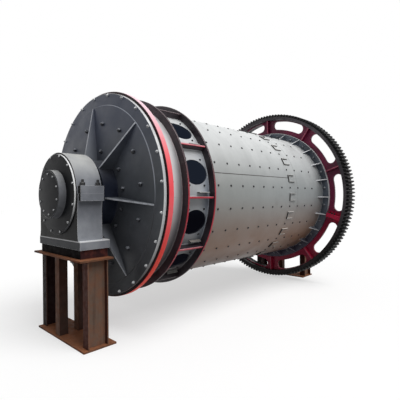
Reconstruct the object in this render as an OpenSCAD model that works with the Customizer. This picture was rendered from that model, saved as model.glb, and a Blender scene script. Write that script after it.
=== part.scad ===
// Overflow rod mill: a ribbed steel drum with peripheral discharge ports and a
// split ring gear, turning in two pedestal bearings on short steel stands.
// Millimetres, +Z up. The drum's axis runs along X with the gear end at +X.
// Angles around the drum start at the -Y side and rise towards +Z.
// The origin is at floor level, under the middle of the mill.

/* [Shell] */
// Outer diameter of the shell plate
shell_d = 2140; // [2100:10:2180]
// Thickness of the shell plate
shell_wall = 20; // [12:1:30]
// Length of the shell between its end faces
shell_l = 3666; // [3500:1:4000]
// Angle of the first lengthwise seam between shell plates
shell_seam_a = 13; // [8:1:18]
// Thickness of the flange at the discharge end
end_flange_t = 61; // [40:1:80]
// Height of that flange over the shell
end_flange_h = 130; // [110:1:140]

/* [Discharge ports] */
// Number of discharge ports around the shell
port_count = 12; // [4:4:12]
// Distance from the shell's end to the first port flange
port_zone_start = 291; // [240:1:340]
// Clear width between the two port flanges
port_zone_w = 391; // [380:1:420]
// Thickness of a port flange
port_flange_t = 20; // [14:1:40]
// Height of a port flange over the shell
port_flange_h = 96; // [85:1:110]
// Length of a port along the drum
port_l = 366; // [300:1:368]
// Width of a port across the drum
port_w = 284; // [200:1:300]
// Distance from the middle of the zone to the ports' middle
port_shift = 9; // [-5:1:9]
// Angle of the first port
port_a = 12.5; // [10:0.5:15]
// Thickness of a rib between two ports
port_rib_t = 20; // [12:1:30]
// Height of a rib over the shell
port_rib_h = 80; // [60:1:85]
// Length of the small bar beside each rib
port_bar_l = 165; // [100:1:200]
// Thickness of the small bar
port_bar_t = 12; // [8:1:16]
// Height of the small bar over the shell
port_bar_h = 40; // [25:1:55]
// Angle from a rib to its bar
port_bar_a = 2.8; // [2:0.1:3.5]
// Gap from the bar to the rear port flange
port_bar_gap = 22; // [10:1:60]

/* [Shell clips] */
// Number of clips around the shell
clip_count = 24; // [12:12:24]
// Distance from the shell's end to the clips
clip_start = 2500; // [2200:1:2600]
// Length of a clip along the drum
clip_l = 165; // [120:1:200]
// Width of a clip across the drum
clip_w = 112; // [80:1:130]
// Height of a clip over the shell
clip_h = 15; // [10:1:60]
// Thickness of the clip's plate
clip_t = 10; // [6:1:14]
// Angle from the port ribs' pattern to the first clip
clip_a = -2.5; // [-7:0.5:2]

/* [Gear flange] */
// Thickness of the flange that carries the ring gear
gear_flange_t = 42; // [30:1:60]
// Height of the flange over the shell
gear_flange_h = 115; // [100:1:125]
// Number of gussets behind the flange
gusset_count = 24; // [12:12:24]
// Length of a gusset along the shell
gusset_l = 182; // [120:1:220]
// Height of a gusset at the flange
gusset_h = 107; // [80:1:110]
// Thickness of a gusset
gusset_t = 16; // [10:1:24]
// Angle of the first gusset
gusset_a = -2.5; // [-7:0.5:2]

/* [Ring gear] */
// Height of the pitch circle over the shell, which is rounded to whole pairs of teeth
gear_pitch_h = 450; // [430:5:500]
// Gear module, the pitch diameter over the number of teeth
gear_module = 20; // [20:0.5:21]
// Thickness of the rim under the teeth
rim_t = 55; // [45:1:65]
// Width of the rim in front of the web
rim_front = 85; // [70:1:110]
// Width of the rim behind the web
rim_back = 134; // [100:1:150]
// Thickness of the web
web_t = 40; // [25:1:60]
// Number of kidney slots in the web
slot_count = 10; // [6:2:10]
// Radial width of a slot
slot_w = 163; // [130:1:180]
// Half the angle that a slot spans, with its round ends
slot_half_a = 13.4; // [10:0.1:14]
// Web left between a slot and the rim
slot_edge = 14; // [8:1:20]
// Angle of the first slot
slot_a = 1; // [-5:1:7]
// Thickness of a rib on a spoke
spoke_rib_t = 24; // [16:1:40]
// Height of a spoke's rib in front of the web
spoke_rib_front = 62; // [40:1:68]
// Height of a spoke's rib behind the web
spoke_rib_back = 110; // [60:1:98]
// Gap from the drum's flange to the spoke ribs
spoke_rib_gap = 10; // [6:1:30]
// Thickness of each plate of the bolted split joint
joint_plate_t = 34; // [20:1:50]
// Gap that the weld fills between the web and the rim
rim_fit = 0.8; // [0.6:0.1:0.9]
// How far the joint plates stay inside the rim's faces
joint_plate_inset = 10; // [4:1:20]

/* [End covers] */
// Thickness of an end cover's flange
cover_t = 34; // [28:1:50]
// Height of the cover's flange over the shell
cover_h = 102; // [100:1:130]
// Depth of the narrower joint face against the shell
joint_step_t = 6; // [4:1:16]
// Height of the joint face over the shell
joint_step_h = 70; // [50:1:80]
// Thickness of the spigot that centres the cover in the bore
spigot_t = 37; // [15:1:60]
// Radial clearance of the spigot in the bore
spigot_fit = 0.8; // [0.5:0.1:0.9]
// Height of the raised disc on the cover's face
raised_t = 8; // [4:1:15]
// Distance from the raised disc's edge to the shell's outside
raised_margin = 32; // [20:1:60]
// Number of ribs on a cover
cover_rib_count = 7; // [5:1:9]
// Thickness of a cover rib
cover_rib_t = 22; // [16:1:45]
// Height of a cover rib at the hub
cover_rib_h = 168; // [120:1:170]
// Height of a cover rib at its outer end
cover_rib_end_h = 10; // [5:1:20]
// Angle of the first cover rib
cover_rib_a = -6.6; // [-12:0.1:0]

/* [Trunnions] */
// Diameter of the hub on the cover
hub_d = 800; // [700:10:840]
// Length of the hub
hub_l = 190; // [185:1:220]
// Diameter of the journal in the bearing
journal_d = 500; // [400:10:540]
// Length of the journal
journal_l = 310; // [290:1:312]
// Radial running clearance in the housing's seals
journal_clearance = 0.1; // [0.05:0.01:0.1]

/* [Bearings] */
// Gap from the hub to the housing
housing_gap = 51; // [45:1:80]
// Length of the housing
housing_l = 273; // [272:1:300]
// Radius of the round cap
cap_r = 449; // [440:1:470]
// Half the width across the split ears
ear_half_w = 503; // [490:1:530]
// Thickness of the cap's ears
cap_ear_t = 80; // [60:1:100]
// Thickness of the housing's ears
housing_ear_t = 74; // [60:1:100]
// Distance from the housing's inner face to its ears
ear_start = 5; // [0:1:20]
// Length of the ears
ear_l = 257; // [200:1:260]
// Half the width of the housing under its ears
housing_half_w = 462; // [450:1:485]
// How far the housing's sides draw in at the waist
waist = 12; // [4:1:20]
// Height of the housing from its foot slab to the axis
housing_h = 479; // [460:1:560]
// Thickness of the foot slab
slab_t = 88; // [60:1:110]
// Half the width of the foot slab
slab_half_w = 488; // [470:1:520]
// Length of the foot slab
slab_l = 332; // [300:1:340]
// Distance from the cover's face to the foot slab
slab_start = 177; // [175:1:190]
// Radius of the bearing's end plate
end_plate_r = 432; // [400:1:440]
// Thickness of the bearing's end plate
end_plate_t = 20; // [12:1:30]
// Radius of the boss on the end plate
boss_r = 258; // [240:1:300]
// Length of the boss
boss_l = 76; // [60:1:130]

/* [Stands] */
// Height of the packing block
packing_t = 91; // [60:1:120]
// Half the width of the packing block
packing_half_w = 470; // [440:1:488]
// Length of the packing block
packing_l = 305; // [280:1:325]
// Distance from the cover's face to the packing block
packing_start = 190; // [182:1:200]
// Thickness of the top and base plates
plate_t = 20; // [14:1:30]
// Half the width of the top plate
top_plate_half_w = 568; // [550:1:600]
// Length of the top plate
top_plate_l = 367; // [340:1:380]
// Distance from the cover's face to the top plate
top_plate_start = 179; // [172:1:185]
// Half the width of the base plate
base_plate_half_w = 550; // [548:1:580]
// Length of the base plate
base_plate_l = 368; // [350:1:380]
// Distance from the cover's face to the base plate
base_plate_start = 143; // [135:1:150]
// Height of the beams and posts
leg_h = 874; // [840:1:1000]
// Depth of an end beam along the mill
beam_depth = 228; // [200:1:240]
// Width of an end beam's flanges
beam_w = 107; // [90:1:110]
// Thickness of an end beam's flanges
beam_flange_t = 14; // [10:1:20]
// Thickness of an end beam's web
beam_web_t = 10; // [6:1:16]
// Distance from the cover's face to the end beams
beam_start = 232; // [220:1:240]
// Distance from the mill's centre line to an end beam's web
beam_y = 492; // [480:1:495]
// Width of a middle post
post_w = 100; // [80:1:110]
// Distance from the mill's centre line to the posts' middle
post_y = 86; // [0:1:120]
// Distance from the cover's face to the inner post
inner_post_start = 172; // [165:1:175]
// Distance from the cover's face to the outer post
outer_post_start = 388; // [380:1:395]

/* [Hidden] */
$fn = 96;
// Sides of a circle where a small clip's foot or the wide web's edge needs finer steps
fine_fn = 256;
// Overrun of a cutting shape past the face it cuts
over = 1;
shell_r = shell_d / 2;
bore_r = shell_r - shell_wall;
shell_x0 = cover_t + joint_step_t;
shell_x1 = shell_x0 + shell_l;
far_x = shell_x1 + web_t + joint_step_t + cover_t;
port_flange_x0 = shell_x0 + port_zone_start;
port_zone_x0 = port_flange_x0 + port_flange_t;
port_zone_x1 = port_zone_x0 + port_zone_w;
port_shell_x1 = port_zone_x1 + port_flange_t;
port_mid_x = (port_zone_x0 + port_zone_x1) / 2 + port_shift;
port_pitch = 360 / port_count;
port_rib_a = port_a - port_pitch / 2;
// A port's outline is an ellipse drawn with this many straight sides
port_sides = 40;
clip_x0 = shell_x0 + clip_start;
gear_flange_x0 = shell_x1 - gear_flange_t;
gear_flange_r = shell_r + gear_flange_h;
raised_r = shell_r - raised_margin;
hub_r = hub_d / 2;
journal_r = journal_d / 2;
housing_u0 = hub_l + housing_gap;
housing_u1 = housing_u0 + housing_l;
axis_h = plate_t + leg_h + plate_t + packing_t + slab_t + housing_h;
slab_z = -housing_h - slab_t;
packing_z = slab_z - packing_t;
top_plate_z = packing_z - plate_t;
leg_z = top_plate_z - leg_h;
mill_end_u = housing_u1 + end_plate_t + boss_l;
// The teeth come in pairs, so that each half of the gear gets as many
tooth_count = 2 * round((shell_r + gear_pitch_h) / gear_module);
tip_r = gear_module * (tooth_count + 2) / 2;
root_r = gear_module * (tooth_count - 2.5) / 2;
pitch_r = gear_module * tooth_count / 2;
tooth_pitch_a = 360 / tooth_count;
rim_r = root_r - rim_t;
web_r = rim_r - rim_fit;
slot_r1 = rim_r - slot_edge;
slot_r0 = slot_r1 - slot_w;
slot_end_r = slot_w / 2;
slot_mid_r = slot_r0 + slot_end_r;
slot_arc_a = slot_half_a - asin(slot_end_r / slot_mid_r);
slot_pitch = 360 / slot_count;
split_a = slot_a - slot_pitch / 2;
web_x1 = shell_x1 + web_t;
gear_rim_x0 = shell_x1 - rim_front;
gear_rim_x1 = web_x1 + rim_back;
spoke_rib_r0 = gear_flange_r + spoke_rib_gap;

// ---- Placing ----

// Puts drum coordinates, x from the front cover's face, into the mill's own frame
module on_axis() {
    translate([-far_x / 2, 0, axis_h]) children();
}

// Puts a piece of a bearing end, drawn outwards along +X from the cover's face, at the front
module at_front() {
    on_axis() mirror([1, 0, 0]) children();
}

// The same at the gear end
module at_rear() {
    on_axis() translate([far_x, 0, 0]) children();
}

// Stands a flat shape across the axis, its polar angle being the angle around the drum.
// It runs back from x = x_end.
module across(x_end) {
    translate([x_end, 0, 0]) rotate([90, 0, -90]) children();
}

// Turns a piece drawn at the -Y side to an angle around the drum
module at_angle(a) {
    rotate([-a, 0, 0]) children();
}

// ---- Shapes that repeat ----

module disc(x0, x1, r) {
    across(x1) cylinder(h = x1 - x0, r = r);
}

module ring(x0, x1, r_in, r_out) {
    difference() {
        disc(x0, x1, r_out);
        disc(x0 - over, x1 + over, r_in);
    }
}

module arc_plate(x0, x1, r_in, r_out, a0, a1) {
    across(x1) rotate([0, 0, a0]) rotate_extrude(angle = a1 - a0)
        translate([r_in, 0]) square([r_out - r_in, x1 - x0]);
}

// A flat plate in the plane through the axis, between two radii
module radial_plate(x0, x1, r0, r1, t) {
    translate([x0, -r1, -t / 2]) cube([x1 - x0, r1 - r0, t]);
}

// A plate in the plane through the axis, with its outline given as [x, r] points
module radial_outline(points, t) {
    translate([0, 0, -t / 2]) linear_extrude(t) polygon([for (p = points) [p[0], -p[1]]]);
}

module level_box(u0, length, half_w, z0, height) {
    translate([u0, -half_w, z0]) cube([length, 2 * half_w, height]);
}

// ---- Stand, drawn outwards from the cover's face ----

module base_plate() {
    level_box(base_plate_start, base_plate_l, base_plate_half_w, leg_z - plate_t, plate_t);
}

module end_beam() {
    translate([beam_start, -beam_w / 2, leg_z]) cube([beam_flange_t, beam_w, leg_h]);
    translate([beam_start + beam_depth - beam_flange_t, -beam_w / 2, leg_z])
        cube([beam_flange_t, beam_w, leg_h]);
    translate([beam_start, -beam_web_t / 2, leg_z]) cube([beam_depth, beam_web_t, leg_h]);
}

module end_beams() {
    for (side = [-1, 1])
        translate([0, side * beam_y, 0]) end_beam();
}

module middle_posts() {
    for (u = [inner_post_start, outer_post_start])
        translate([u, post_y - post_w / 2, leg_z]) cube([post_w, post_w, leg_h]);
}

module top_plate() {
    level_box(top_plate_start, top_plate_l, top_plate_half_w, top_plate_z, plate_t);
}

module packing_block() {
    level_box(packing_start, packing_l, packing_half_w, packing_z, packing_t);
}

// ---- Bearing, drawn outwards from the cover's face ----

module journal_bore() {
    disc(housing_u0 - over, housing_u1 + over, journal_r + journal_clearance);
}

module bearing_housing() {
    side = [
        [housing_half_w, -housing_ear_t + over], [housing_half_w, -housing_ear_t],
        [housing_half_w - waist, -housing_h / 3], [housing_half_w - waist, -housing_h * 5 / 6],
        [housing_half_w, -housing_h], [housing_half_w, -housing_h - over]
    ];
    other_side = [for (i = [len(side) - 1:-1:0]) [-side[i][0], side[i][1]]];
    difference() {
        union() {
            across(housing_u1) linear_extrude(housing_l) polygon(concat(side, other_side));
            level_box(housing_u0, housing_l, housing_half_w, -housing_ear_t, housing_ear_t);
            level_box(housing_u0 + ear_start, ear_l, ear_half_w, -housing_ear_t, housing_ear_t);
            level_box(slab_start, slab_l, slab_half_w, slab_z, slab_t);
        }
        journal_bore();
    }
}

module bearing_cap() {
    difference() {
        union() {
            intersection() {
                disc(housing_u0, housing_u1, cap_r);
                level_box(housing_u0, housing_l, cap_r, 0, cap_r);
            }
            level_box(housing_u0 + ear_start, ear_l, ear_half_w, 0, cap_ear_t);
        }
        journal_bore();
    }
}

module bearing_end_plate() {
    disc(housing_u1, housing_u1 + end_plate_t, end_plate_r);
    disc(housing_u1 + end_plate_t, mill_end_u, boss_r);
}

// ---- End cover and trunnion, drawn outwards from the cover's face ----

module end_cover() {
    disc(-cover_t - joint_step_t - spigot_t, -cover_t - joint_step_t, bore_r - spigot_fit);
    disc(-cover_t - joint_step_t, -cover_t, shell_r + joint_step_h);
    disc(-cover_t, 0, shell_r + cover_h);
    disc(0, raised_t, raised_r);
}

module cover_ribs() {
    outline = [
        [raised_t, hub_r], [raised_t, raised_r],
        [raised_t + cover_rib_end_h, raised_r], [raised_t + cover_rib_h, hub_r]
    ];
    for (i = [0:cover_rib_count - 1])
        at_angle(cover_rib_a + i * 360 / cover_rib_count)
            difference() {
                radial_outline(outline, cover_rib_t);
                disc(raised_t - over, hub_l, hub_r);
            }
}

module trunnion() {
    disc(raised_t, hub_l, hub_r);
    disc(hub_l, hub_l + journal_l, journal_r);
}

// ---- Shell and what it carries, in drum coordinates ----

// An ellipse, with x along the drum and y across it
module port_outline() {
    polygon([for (i = [0:port_sides - 1])
        [port_l / 2 * cos(i * 360 / port_sides), port_w / 2 * sin(i * 360 / port_sides)]]);
}

module port_cut(a) {
    at_angle(a) translate([port_mid_x, -bore_r / 2, 0]) rotate([90, 0, 0])
        linear_extrude(bore_r) port_outline();
}

// The ported end of the shell is rolled in four quarters that meet under ribs
module port_shell(quarter) {
    ports = port_count / 4;
    first = quarter * ports;
    difference() {
        arc_plate(shell_x0, port_shell_x1, bore_r, shell_r,
            port_rib_a + first * port_pitch, port_rib_a + (first + ports) * port_pitch);
        for (i = [first:first + ports - 1])
            port_cut(port_a + i * port_pitch);
    }
}

module shell_plate(quarter) {
    arc_plate(port_shell_x1, shell_x1, bore_r, shell_r,
        shell_seam_a + quarter * 90, shell_seam_a + (quarter + 1) * 90);
}

module port_rib_ring() {
    for (i = [0:port_count - 1])
        at_angle(port_rib_a + i * port_pitch)
            radial_plate(port_zone_x0, port_zone_x1, shell_r, shell_r + port_rib_h, port_rib_t);
}

module port_bar_ring() {
    bar_x1 = port_zone_x1 - port_bar_gap;
    for (i = [0:port_count - 1])
        at_angle(port_rib_a + port_bar_a + i * port_pitch)
            radial_plate(bar_x1 - port_bar_l, bar_x1, shell_r, shell_r + port_bar_h, port_bar_t);
}

// An open-ended box of plate that stands on the shell
module clip() {
    difference() {
        radial_plate(clip_x0, clip_x0 + clip_l, bore_r, shell_r + clip_h, clip_w);
        radial_plate(clip_x0 + clip_t, clip_x0 + clip_l + over, bore_r - over,
            shell_r + clip_h + over, clip_w - 2 * clip_t);
        disc(clip_x0 - over, clip_x0 + clip_l + over, shell_r, $fn = fine_fn);
    }
}

module clip_ring() {
    for (i = [0:clip_count - 1])
        at_angle(clip_a + i * 360 / clip_count) clip();
}

module gusset_ring() {
    outline = [
        [gear_flange_x0 - gusset_l, shell_r], [gear_flange_x0, shell_r],
        [gear_flange_x0, shell_r + gusset_h]
    ];
    for (i = [0:gusset_count - 1])
        at_angle(gusset_a + i * 360 / gusset_count) radial_outline(outline, gusset_t);
}

// ---- Ring gear, in drum coordinates ----

function polar(r, a) = [r * cos(a), r * sin(a)];

// Half the width of a tooth, as a share of the tooth pitch, at its root, pitch circle and tip
tooth_shares = [0.36, 0.25, 0.135];

// One tooth's outline from root to root, centred on angle a
function tooth(a) = let (radii = [root_r, pitch_r, tip_r]) concat(
    [for (i = [0:2]) polar(radii[i], a - tooth_shares[i] * tooth_pitch_a)],
    [for (i = [2:-1:0]) polar(radii[i], a + tooth_shares[i] * tooth_pitch_a)]
);

// Half of the toothed disc, from the split plane round to the other side
module toothed_half(start) {
    teeth = [for (i = [0:tooth_count / 2 - 1]) each tooth(start + (i + 0.5) * tooth_pitch_a)];
    polygon(concat([polar(root_r, start)], teeth, [polar(root_r, start + 180)]));
}

// A kidney: an arc at each radius, joined by a half circle at each end
module slot_outline(a) {
    steps = 12;
    outer = [for (i = [0:steps]) polar(slot_r1, a + slot_arc_a * (2 * i / steps - 1))];
    inner = [for (i = [steps:-1:0]) polar(slot_r0, a + slot_arc_a * (2 * i / steps - 1))];
    far_end = [for (i = [1:steps - 1]) polar(slot_mid_r, a + slot_arc_a)
        + polar(slot_end_r, a + slot_arc_a + i * 180 / steps)];
    near_end = [for (i = [1:steps - 1]) polar(slot_mid_r, a - slot_arc_a)
        + polar(slot_end_r, a - slot_arc_a + 180 + i * 180 / steps)];
    polygon(concat(outer, far_end, inner, near_end));
}

// The toothed rim of one half of the gear
module gear_rim_half(start) {
    across(gear_rim_x1) linear_extrude(gear_rim_x1 - gear_rim_x0) difference() {
        toothed_half(start);
        circle(r = rim_r);
    }
}

// The web of one half, between the drum's flange and the rim, with its kidney slots
module gear_web_half(start) {
    difference() {
        arc_plate(shell_x1, web_x1, bore_r, web_r, start, start + 180, $fn = fine_fn);
        for (i = [0:slot_count / 2 - 1])
            across(web_x1 + over) linear_extrude(web_t + 2 * over)
                slot_outline(start + (i + 0.5) * slot_pitch);
    }
}

// The upright ribs on the spokes and the plates of the split joint, in front of the web and behind it
module gear_rib_half(start) {
    rib_r1 = sqrt(web_r * web_r - spoke_rib_t * spoke_rib_t / 4);
    plate_r1 = sqrt(web_r * web_r - joint_plate_t * joint_plate_t);
    for (span = [[shell_x1 - spoke_rib_front, shell_x1], [web_x1, web_x1 + spoke_rib_back]])
        for (i = [1:slot_count / 2 - 1])
            at_angle(start + i * slot_pitch)
                radial_plate(span[0], span[1], spoke_rib_r0, rib_r1, spoke_rib_t);
    for (span = [[gear_rim_x0 + joint_plate_inset, shell_x1], [web_x1, gear_rim_x1 - joint_plate_inset]])
        for (end = [0, 1])
            at_angle(start + end * 180) translate([span[0], -plate_r1, -end * joint_plate_t])
                cube([span[1] - span[0], plate_r1 - spoke_rib_r0, joint_plate_t]);
}

// ---- Sub-parts ----

module front_base_plate() { color([0.33, 0.25, 0.2]) at_front() base_plate(); }
module front_end_beams() { color([0.4, 0.3, 0.24]) at_front() end_beams(); }
module front_middle_posts() { color([0.4, 0.3, 0.24]) at_front() middle_posts(); }
module front_top_plate() { color([0.5, 0.33, 0.22]) at_front() top_plate(); }
module front_packing_block() { color([0.12, 0.1, 0.1]) at_front() packing_block(); }
module front_bearing_housing() { color([0.5, 0.51, 0.52]) at_front() bearing_housing(); }
module front_bearing_cap() { color([0.55, 0.56, 0.57]) at_front() bearing_cap(); }
module front_bearing_end_plate() { color([0.3, 0.31, 0.33]) at_front() bearing_end_plate(); }
module rear_base_plate() { color([0.33, 0.25, 0.2]) at_rear() base_plate(); }
module rear_end_beams() { color([0.4, 0.3, 0.24]) at_rear() end_beams(); }
module rear_middle_posts() { color([0.4, 0.3, 0.24]) at_rear() middle_posts(); }
module rear_top_plate() { color([0.5, 0.33, 0.22]) at_rear() top_plate(); }
module rear_packing_block() { color([0.12, 0.1, 0.1]) at_rear() packing_block(); }
module rear_bearing_housing() { color([0.5, 0.51, 0.52]) at_rear() bearing_housing(); }
module rear_bearing_cap() { color([0.55, 0.56, 0.57]) at_rear() bearing_cap(); }
module rear_bearing_end_plate() { color([0.3, 0.31, 0.33]) at_rear() bearing_end_plate(); }
module front_end_cover() { color([0.22, 0.23, 0.26]) at_front() end_cover(); }
module front_cover_ribs() { color([0.25, 0.27, 0.3]) at_front() cover_ribs(); }
module front_trunnion() { color([0.3, 0.31, 0.33]) at_front() trunnion(); }
module rear_end_cover() { color([0.22, 0.23, 0.26]) at_rear() end_cover(); }
module rear_cover_ribs() { color([0.25, 0.27, 0.3]) at_rear() cover_ribs(); }
module rear_trunnion() { color([0.3, 0.31, 0.33]) at_rear() trunnion(); }
module discharge_end_flange() {
    color([0.72, 0.16, 0.14]) on_axis()
        ring(shell_x0, shell_x0 + end_flange_t, shell_r, shell_r + end_flange_h);
}
module port_flange_front() {
    color([0.12, 0.11, 0.12]) on_axis()
        ring(port_flange_x0, port_zone_x0, shell_r, shell_r + port_flange_h);
}
module port_flange_rear() {
    color([0.12, 0.11, 0.12]) on_axis()
        ring(port_zone_x1, port_shell_x1, shell_r, shell_r + port_flange_h);
}
module port_ribs() { color([0.5, 0.18, 0.18]) on_axis() port_rib_ring(); }
module port_bars() { color([0.6, 0.6, 0.6]) on_axis() port_bar_ring(); }
module port_shell_upper_near() { color([0.68, 0.69, 0.7]) on_axis() port_shell(0); }
module port_shell_upper_far() { color([0.68, 0.69, 0.7]) on_axis() port_shell(1); }
module port_shell_lower_far() { color([0.68, 0.69, 0.7]) on_axis() port_shell(2); }
module port_shell_lower_near() { color([0.68, 0.69, 0.7]) on_axis() port_shell(3); }
module shell_plate_upper_near() { color([0.7, 0.71, 0.71]) on_axis() shell_plate(0); }
module shell_plate_upper_far() { color([0.7, 0.71, 0.71]) on_axis() shell_plate(1); }
module shell_plate_lower_far() { color([0.7, 0.71, 0.71]) on_axis() shell_plate(2); }
module shell_plate_lower_near() { color([0.7, 0.71, 0.71]) on_axis() shell_plate(3); }
module shell_clips() { color([0.6, 0.6, 0.6]) on_axis() clip_ring(); }
module gear_flange() {
    color([0.2, 0.24, 0.29]) on_axis()
        ring(gear_flange_x0, shell_x1, shell_r, gear_flange_r);
}
module gear_flange_gussets() { color([0.25, 0.29, 0.34]) on_axis() gusset_ring(); }
module ring_gear_rim_upper() { color([0.14, 0.13, 0.14]) on_axis() gear_rim_half(split_a); }
module ring_gear_rim_lower() { color([0.14, 0.13, 0.14]) on_axis() gear_rim_half(split_a + 180); }
module ring_gear_web_upper() { color([0.36, 0.1, 0.17]) on_axis() gear_web_half(split_a); }
module ring_gear_web_lower() { color([0.36, 0.1, 0.17]) on_axis() gear_web_half(split_a + 180); }
module ring_gear_ribs_upper() { color([0.4, 0.12, 0.19]) on_axis() gear_rib_half(split_a); }
module ring_gear_ribs_lower() { color([0.4, 0.12, 0.19]) on_axis() gear_rib_half(split_a + 180); }

front_base_plate();
front_end_beams();
front_middle_posts();
front_top_plate();
front_packing_block();
front_bearing_housing();
front_bearing_cap();
front_bearing_end_plate();
rear_base_plate();
rear_end_beams();
rear_middle_posts();
rear_top_plate();
rear_packing_block();
rear_bearing_housing();
rear_bearing_cap();
rear_bearing_end_plate();
front_end_cover();
front_cover_ribs();
front_trunnion();
rear_end_cover();
rear_cover_ribs();
rear_trunnion();
discharge_end_flange();
port_flange_front();
port_flange_rear();
port_ribs();
port_bars();
port_shell_upper_near();
port_shell_upper_far();
port_shell_lower_far();
port_shell_lower_near();
shell_plate_upper_near();
shell_plate_upper_far();
shell_plate_lower_far();
shell_plate_lower_near();
shell_clips();
gear_flange();
gear_flange_gussets();
ring_gear_rim_upper();
ring_gear_rim_lower();
ring_gear_web_upper();
ring_gear_web_lower();
ring_gear_ribs_upper();
ring_gear_ribs_lower();
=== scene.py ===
# %% [markdown]
# # A rod mill with its discharge ports, ring gear and bearings
# This file dresses a steel rod mill. Its solids, their sizes and the axis that the drum turns on come
# from the packed part, so everything here is placed from that frame and nothing is moved or resized.
# What is added is what a maker sees close by: rounded edges, bolts, weld beads, paint, grime and rust,
# and some painted light and shade.
# Lengths are in metres and angles around the drum are in degrees, from the -Y side up towards +Z.

# %% Load the frame
import functools
import math

import bmesh
import bpy
import numpy as np

from mathutils import Matrix, Vector


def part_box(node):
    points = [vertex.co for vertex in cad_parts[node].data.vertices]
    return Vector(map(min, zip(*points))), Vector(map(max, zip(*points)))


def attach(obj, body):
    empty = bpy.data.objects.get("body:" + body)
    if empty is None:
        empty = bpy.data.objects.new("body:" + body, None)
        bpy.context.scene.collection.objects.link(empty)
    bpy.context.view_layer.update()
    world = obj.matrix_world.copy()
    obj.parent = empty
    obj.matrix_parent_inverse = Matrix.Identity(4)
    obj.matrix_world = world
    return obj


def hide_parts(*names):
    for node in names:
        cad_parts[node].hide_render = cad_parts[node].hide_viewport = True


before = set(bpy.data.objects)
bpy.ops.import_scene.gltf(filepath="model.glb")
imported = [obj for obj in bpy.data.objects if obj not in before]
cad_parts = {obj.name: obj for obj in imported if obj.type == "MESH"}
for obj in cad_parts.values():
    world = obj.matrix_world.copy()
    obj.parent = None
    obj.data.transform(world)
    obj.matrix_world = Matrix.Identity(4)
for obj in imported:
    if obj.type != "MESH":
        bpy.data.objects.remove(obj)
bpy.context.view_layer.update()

# %% [markdown]
# ## Camera
# The mill is seen from the discharge end at eye height, a little off the drum's axis. The camera is
# turned by a yaw about the vertical, a very small pitch and a very small roll. Its matrix is written
# from the three directions right, up and back, which is clearer than a chain of rotations.

# %% Put up the camera
CAMERA_PLACE = Vector((-4.0519, -3.7201, 1.5047))
CAMERA_YAW, CAMERA_PITCH, CAMERA_ROLL = (math.radians(turn) for turn in (43.867, -0.134, -0.543))
LENS_MM, SENSOR_MM = 31.354, 36.0
forward = Vector((
    math.cos(CAMERA_PITCH) * math.cos(CAMERA_YAW),
    math.cos(CAMERA_PITCH) * math.sin(CAMERA_YAW),
    math.sin(CAMERA_PITCH),
))
level_right = forward.cross(Vector((0, 0, 1))).normalized()
level_up = level_right.cross(forward)
right = math.cos(CAMERA_ROLL) * level_right + math.sin(CAMERA_ROLL) * level_up
up = math.cos(CAMERA_ROLL) * level_up - math.sin(CAMERA_ROLL) * level_right

scene = bpy.context.scene
camera = bpy.data.objects.new("camera", bpy.data.cameras.new("camera"))
scene.collection.objects.link(camera)
camera.data.lens = LENS_MM
camera.data.sensor_width = SENSOR_MM
camera.matrix_world = Matrix.Translation(CAMERA_PLACE) @ Matrix((right, up, -forward)).transposed().to_4x4()
scene.camera = camera
print("camera at", tuple(round(c, 3) for c in CAMERA_PLACE))

# %% [markdown]
# ## Sizes from the frame
# The drum's axis and the plane of the front cover's face are read from the nodes' boxes. What a box
# can't tell, such as the size of a port, is named here with the value it has in the part's source.

# %% Find the axis, the cover's face and the radii
RAISED, SHELL_WALL = 0.008, 0.02
axis_z = (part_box("discharge_end_flange")[0].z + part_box("discharge_end_flange")[1].z) / 2
face_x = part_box("front_trunnion")[1].x + RAISED
far_x = -2 * face_x
floor_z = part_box("front_base_plate")[0].z


def extent(node):
    """(first x, last x, outer radius) of a round node, with x from the front cover's face."""
    low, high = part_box(node)
    return low.x - face_x, high.x - face_x, high.z - axis_z


SHELL_R = extent("shell_plate_upper_near")[2]
BORE_R = SHELL_R - SHELL_WALL
cover_r = extent("front_end_cover")[2]
print("axis height", round(axis_z, 4), "shell radius", round(SHELL_R, 4), "between covers", round(far_x, 4))

# %% [markdown]
# ## Light and floor
# Soft studio light: one broad sun from above and the near side, and a weak white surround that is seen
# at full white. Together they light an upward face at about 1, so a colour there comes out about as it
# is written, and an end face stays darker, which shows its shape. A picture of a sky would light the
# mill too, but two plain numbers are easier to balance. The floor is pale and takes the shadow. It
# shows white to the camera and in glossy surfaces, but sends less light back up, because a mill of this
# size keeps its belly dark.

# %% Light the mill and lay the floor
SKY_LIGHT, SKY_SEEN = 0.28, 1.0
SUN_LIGHT, SUN_SPREAD = 2.5, 45.0
SUN_FROM = Vector((0.10, -0.50, 0.86))
FLOOR_BOUNCE, FLOOR_TONE, FLOOR_GLOW = 0.28, 0.48, 0.55
FLOOR_HALF, FLOOR_DROP = 40.0, 0.001


def unlike_when_seen(tree, socket, exchanged, direct):
    """Gives a socket one value in the light that surfaces exchange and another where it is seen directly.

    Directly means by the camera, in gloss or through glass: the largest of those three ray types is 1.
    """
    path = tree.nodes.new("ShaderNodeLightPath")
    largest = path.outputs["Is Camera Ray"]
    for name in ("Is Glossy Ray", "Is Transmission Ray"):
        either = tree.nodes.new("ShaderNodeMath")
        either.operation = "MAXIMUM"
        tree.links.new(largest, either.inputs[0])
        tree.links.new(path.outputs[name], either.inputs[1])
        largest = either.outputs[0]
    choice = tree.nodes.new("ShaderNodeMapRange")
    choice.inputs["To Min"].default_value = exchanged
    choice.inputs["To Max"].default_value = direct
    tree.links.new(largest, choice.inputs["Value"])
    tree.links.new(choice.outputs["Result"], socket)


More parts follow.
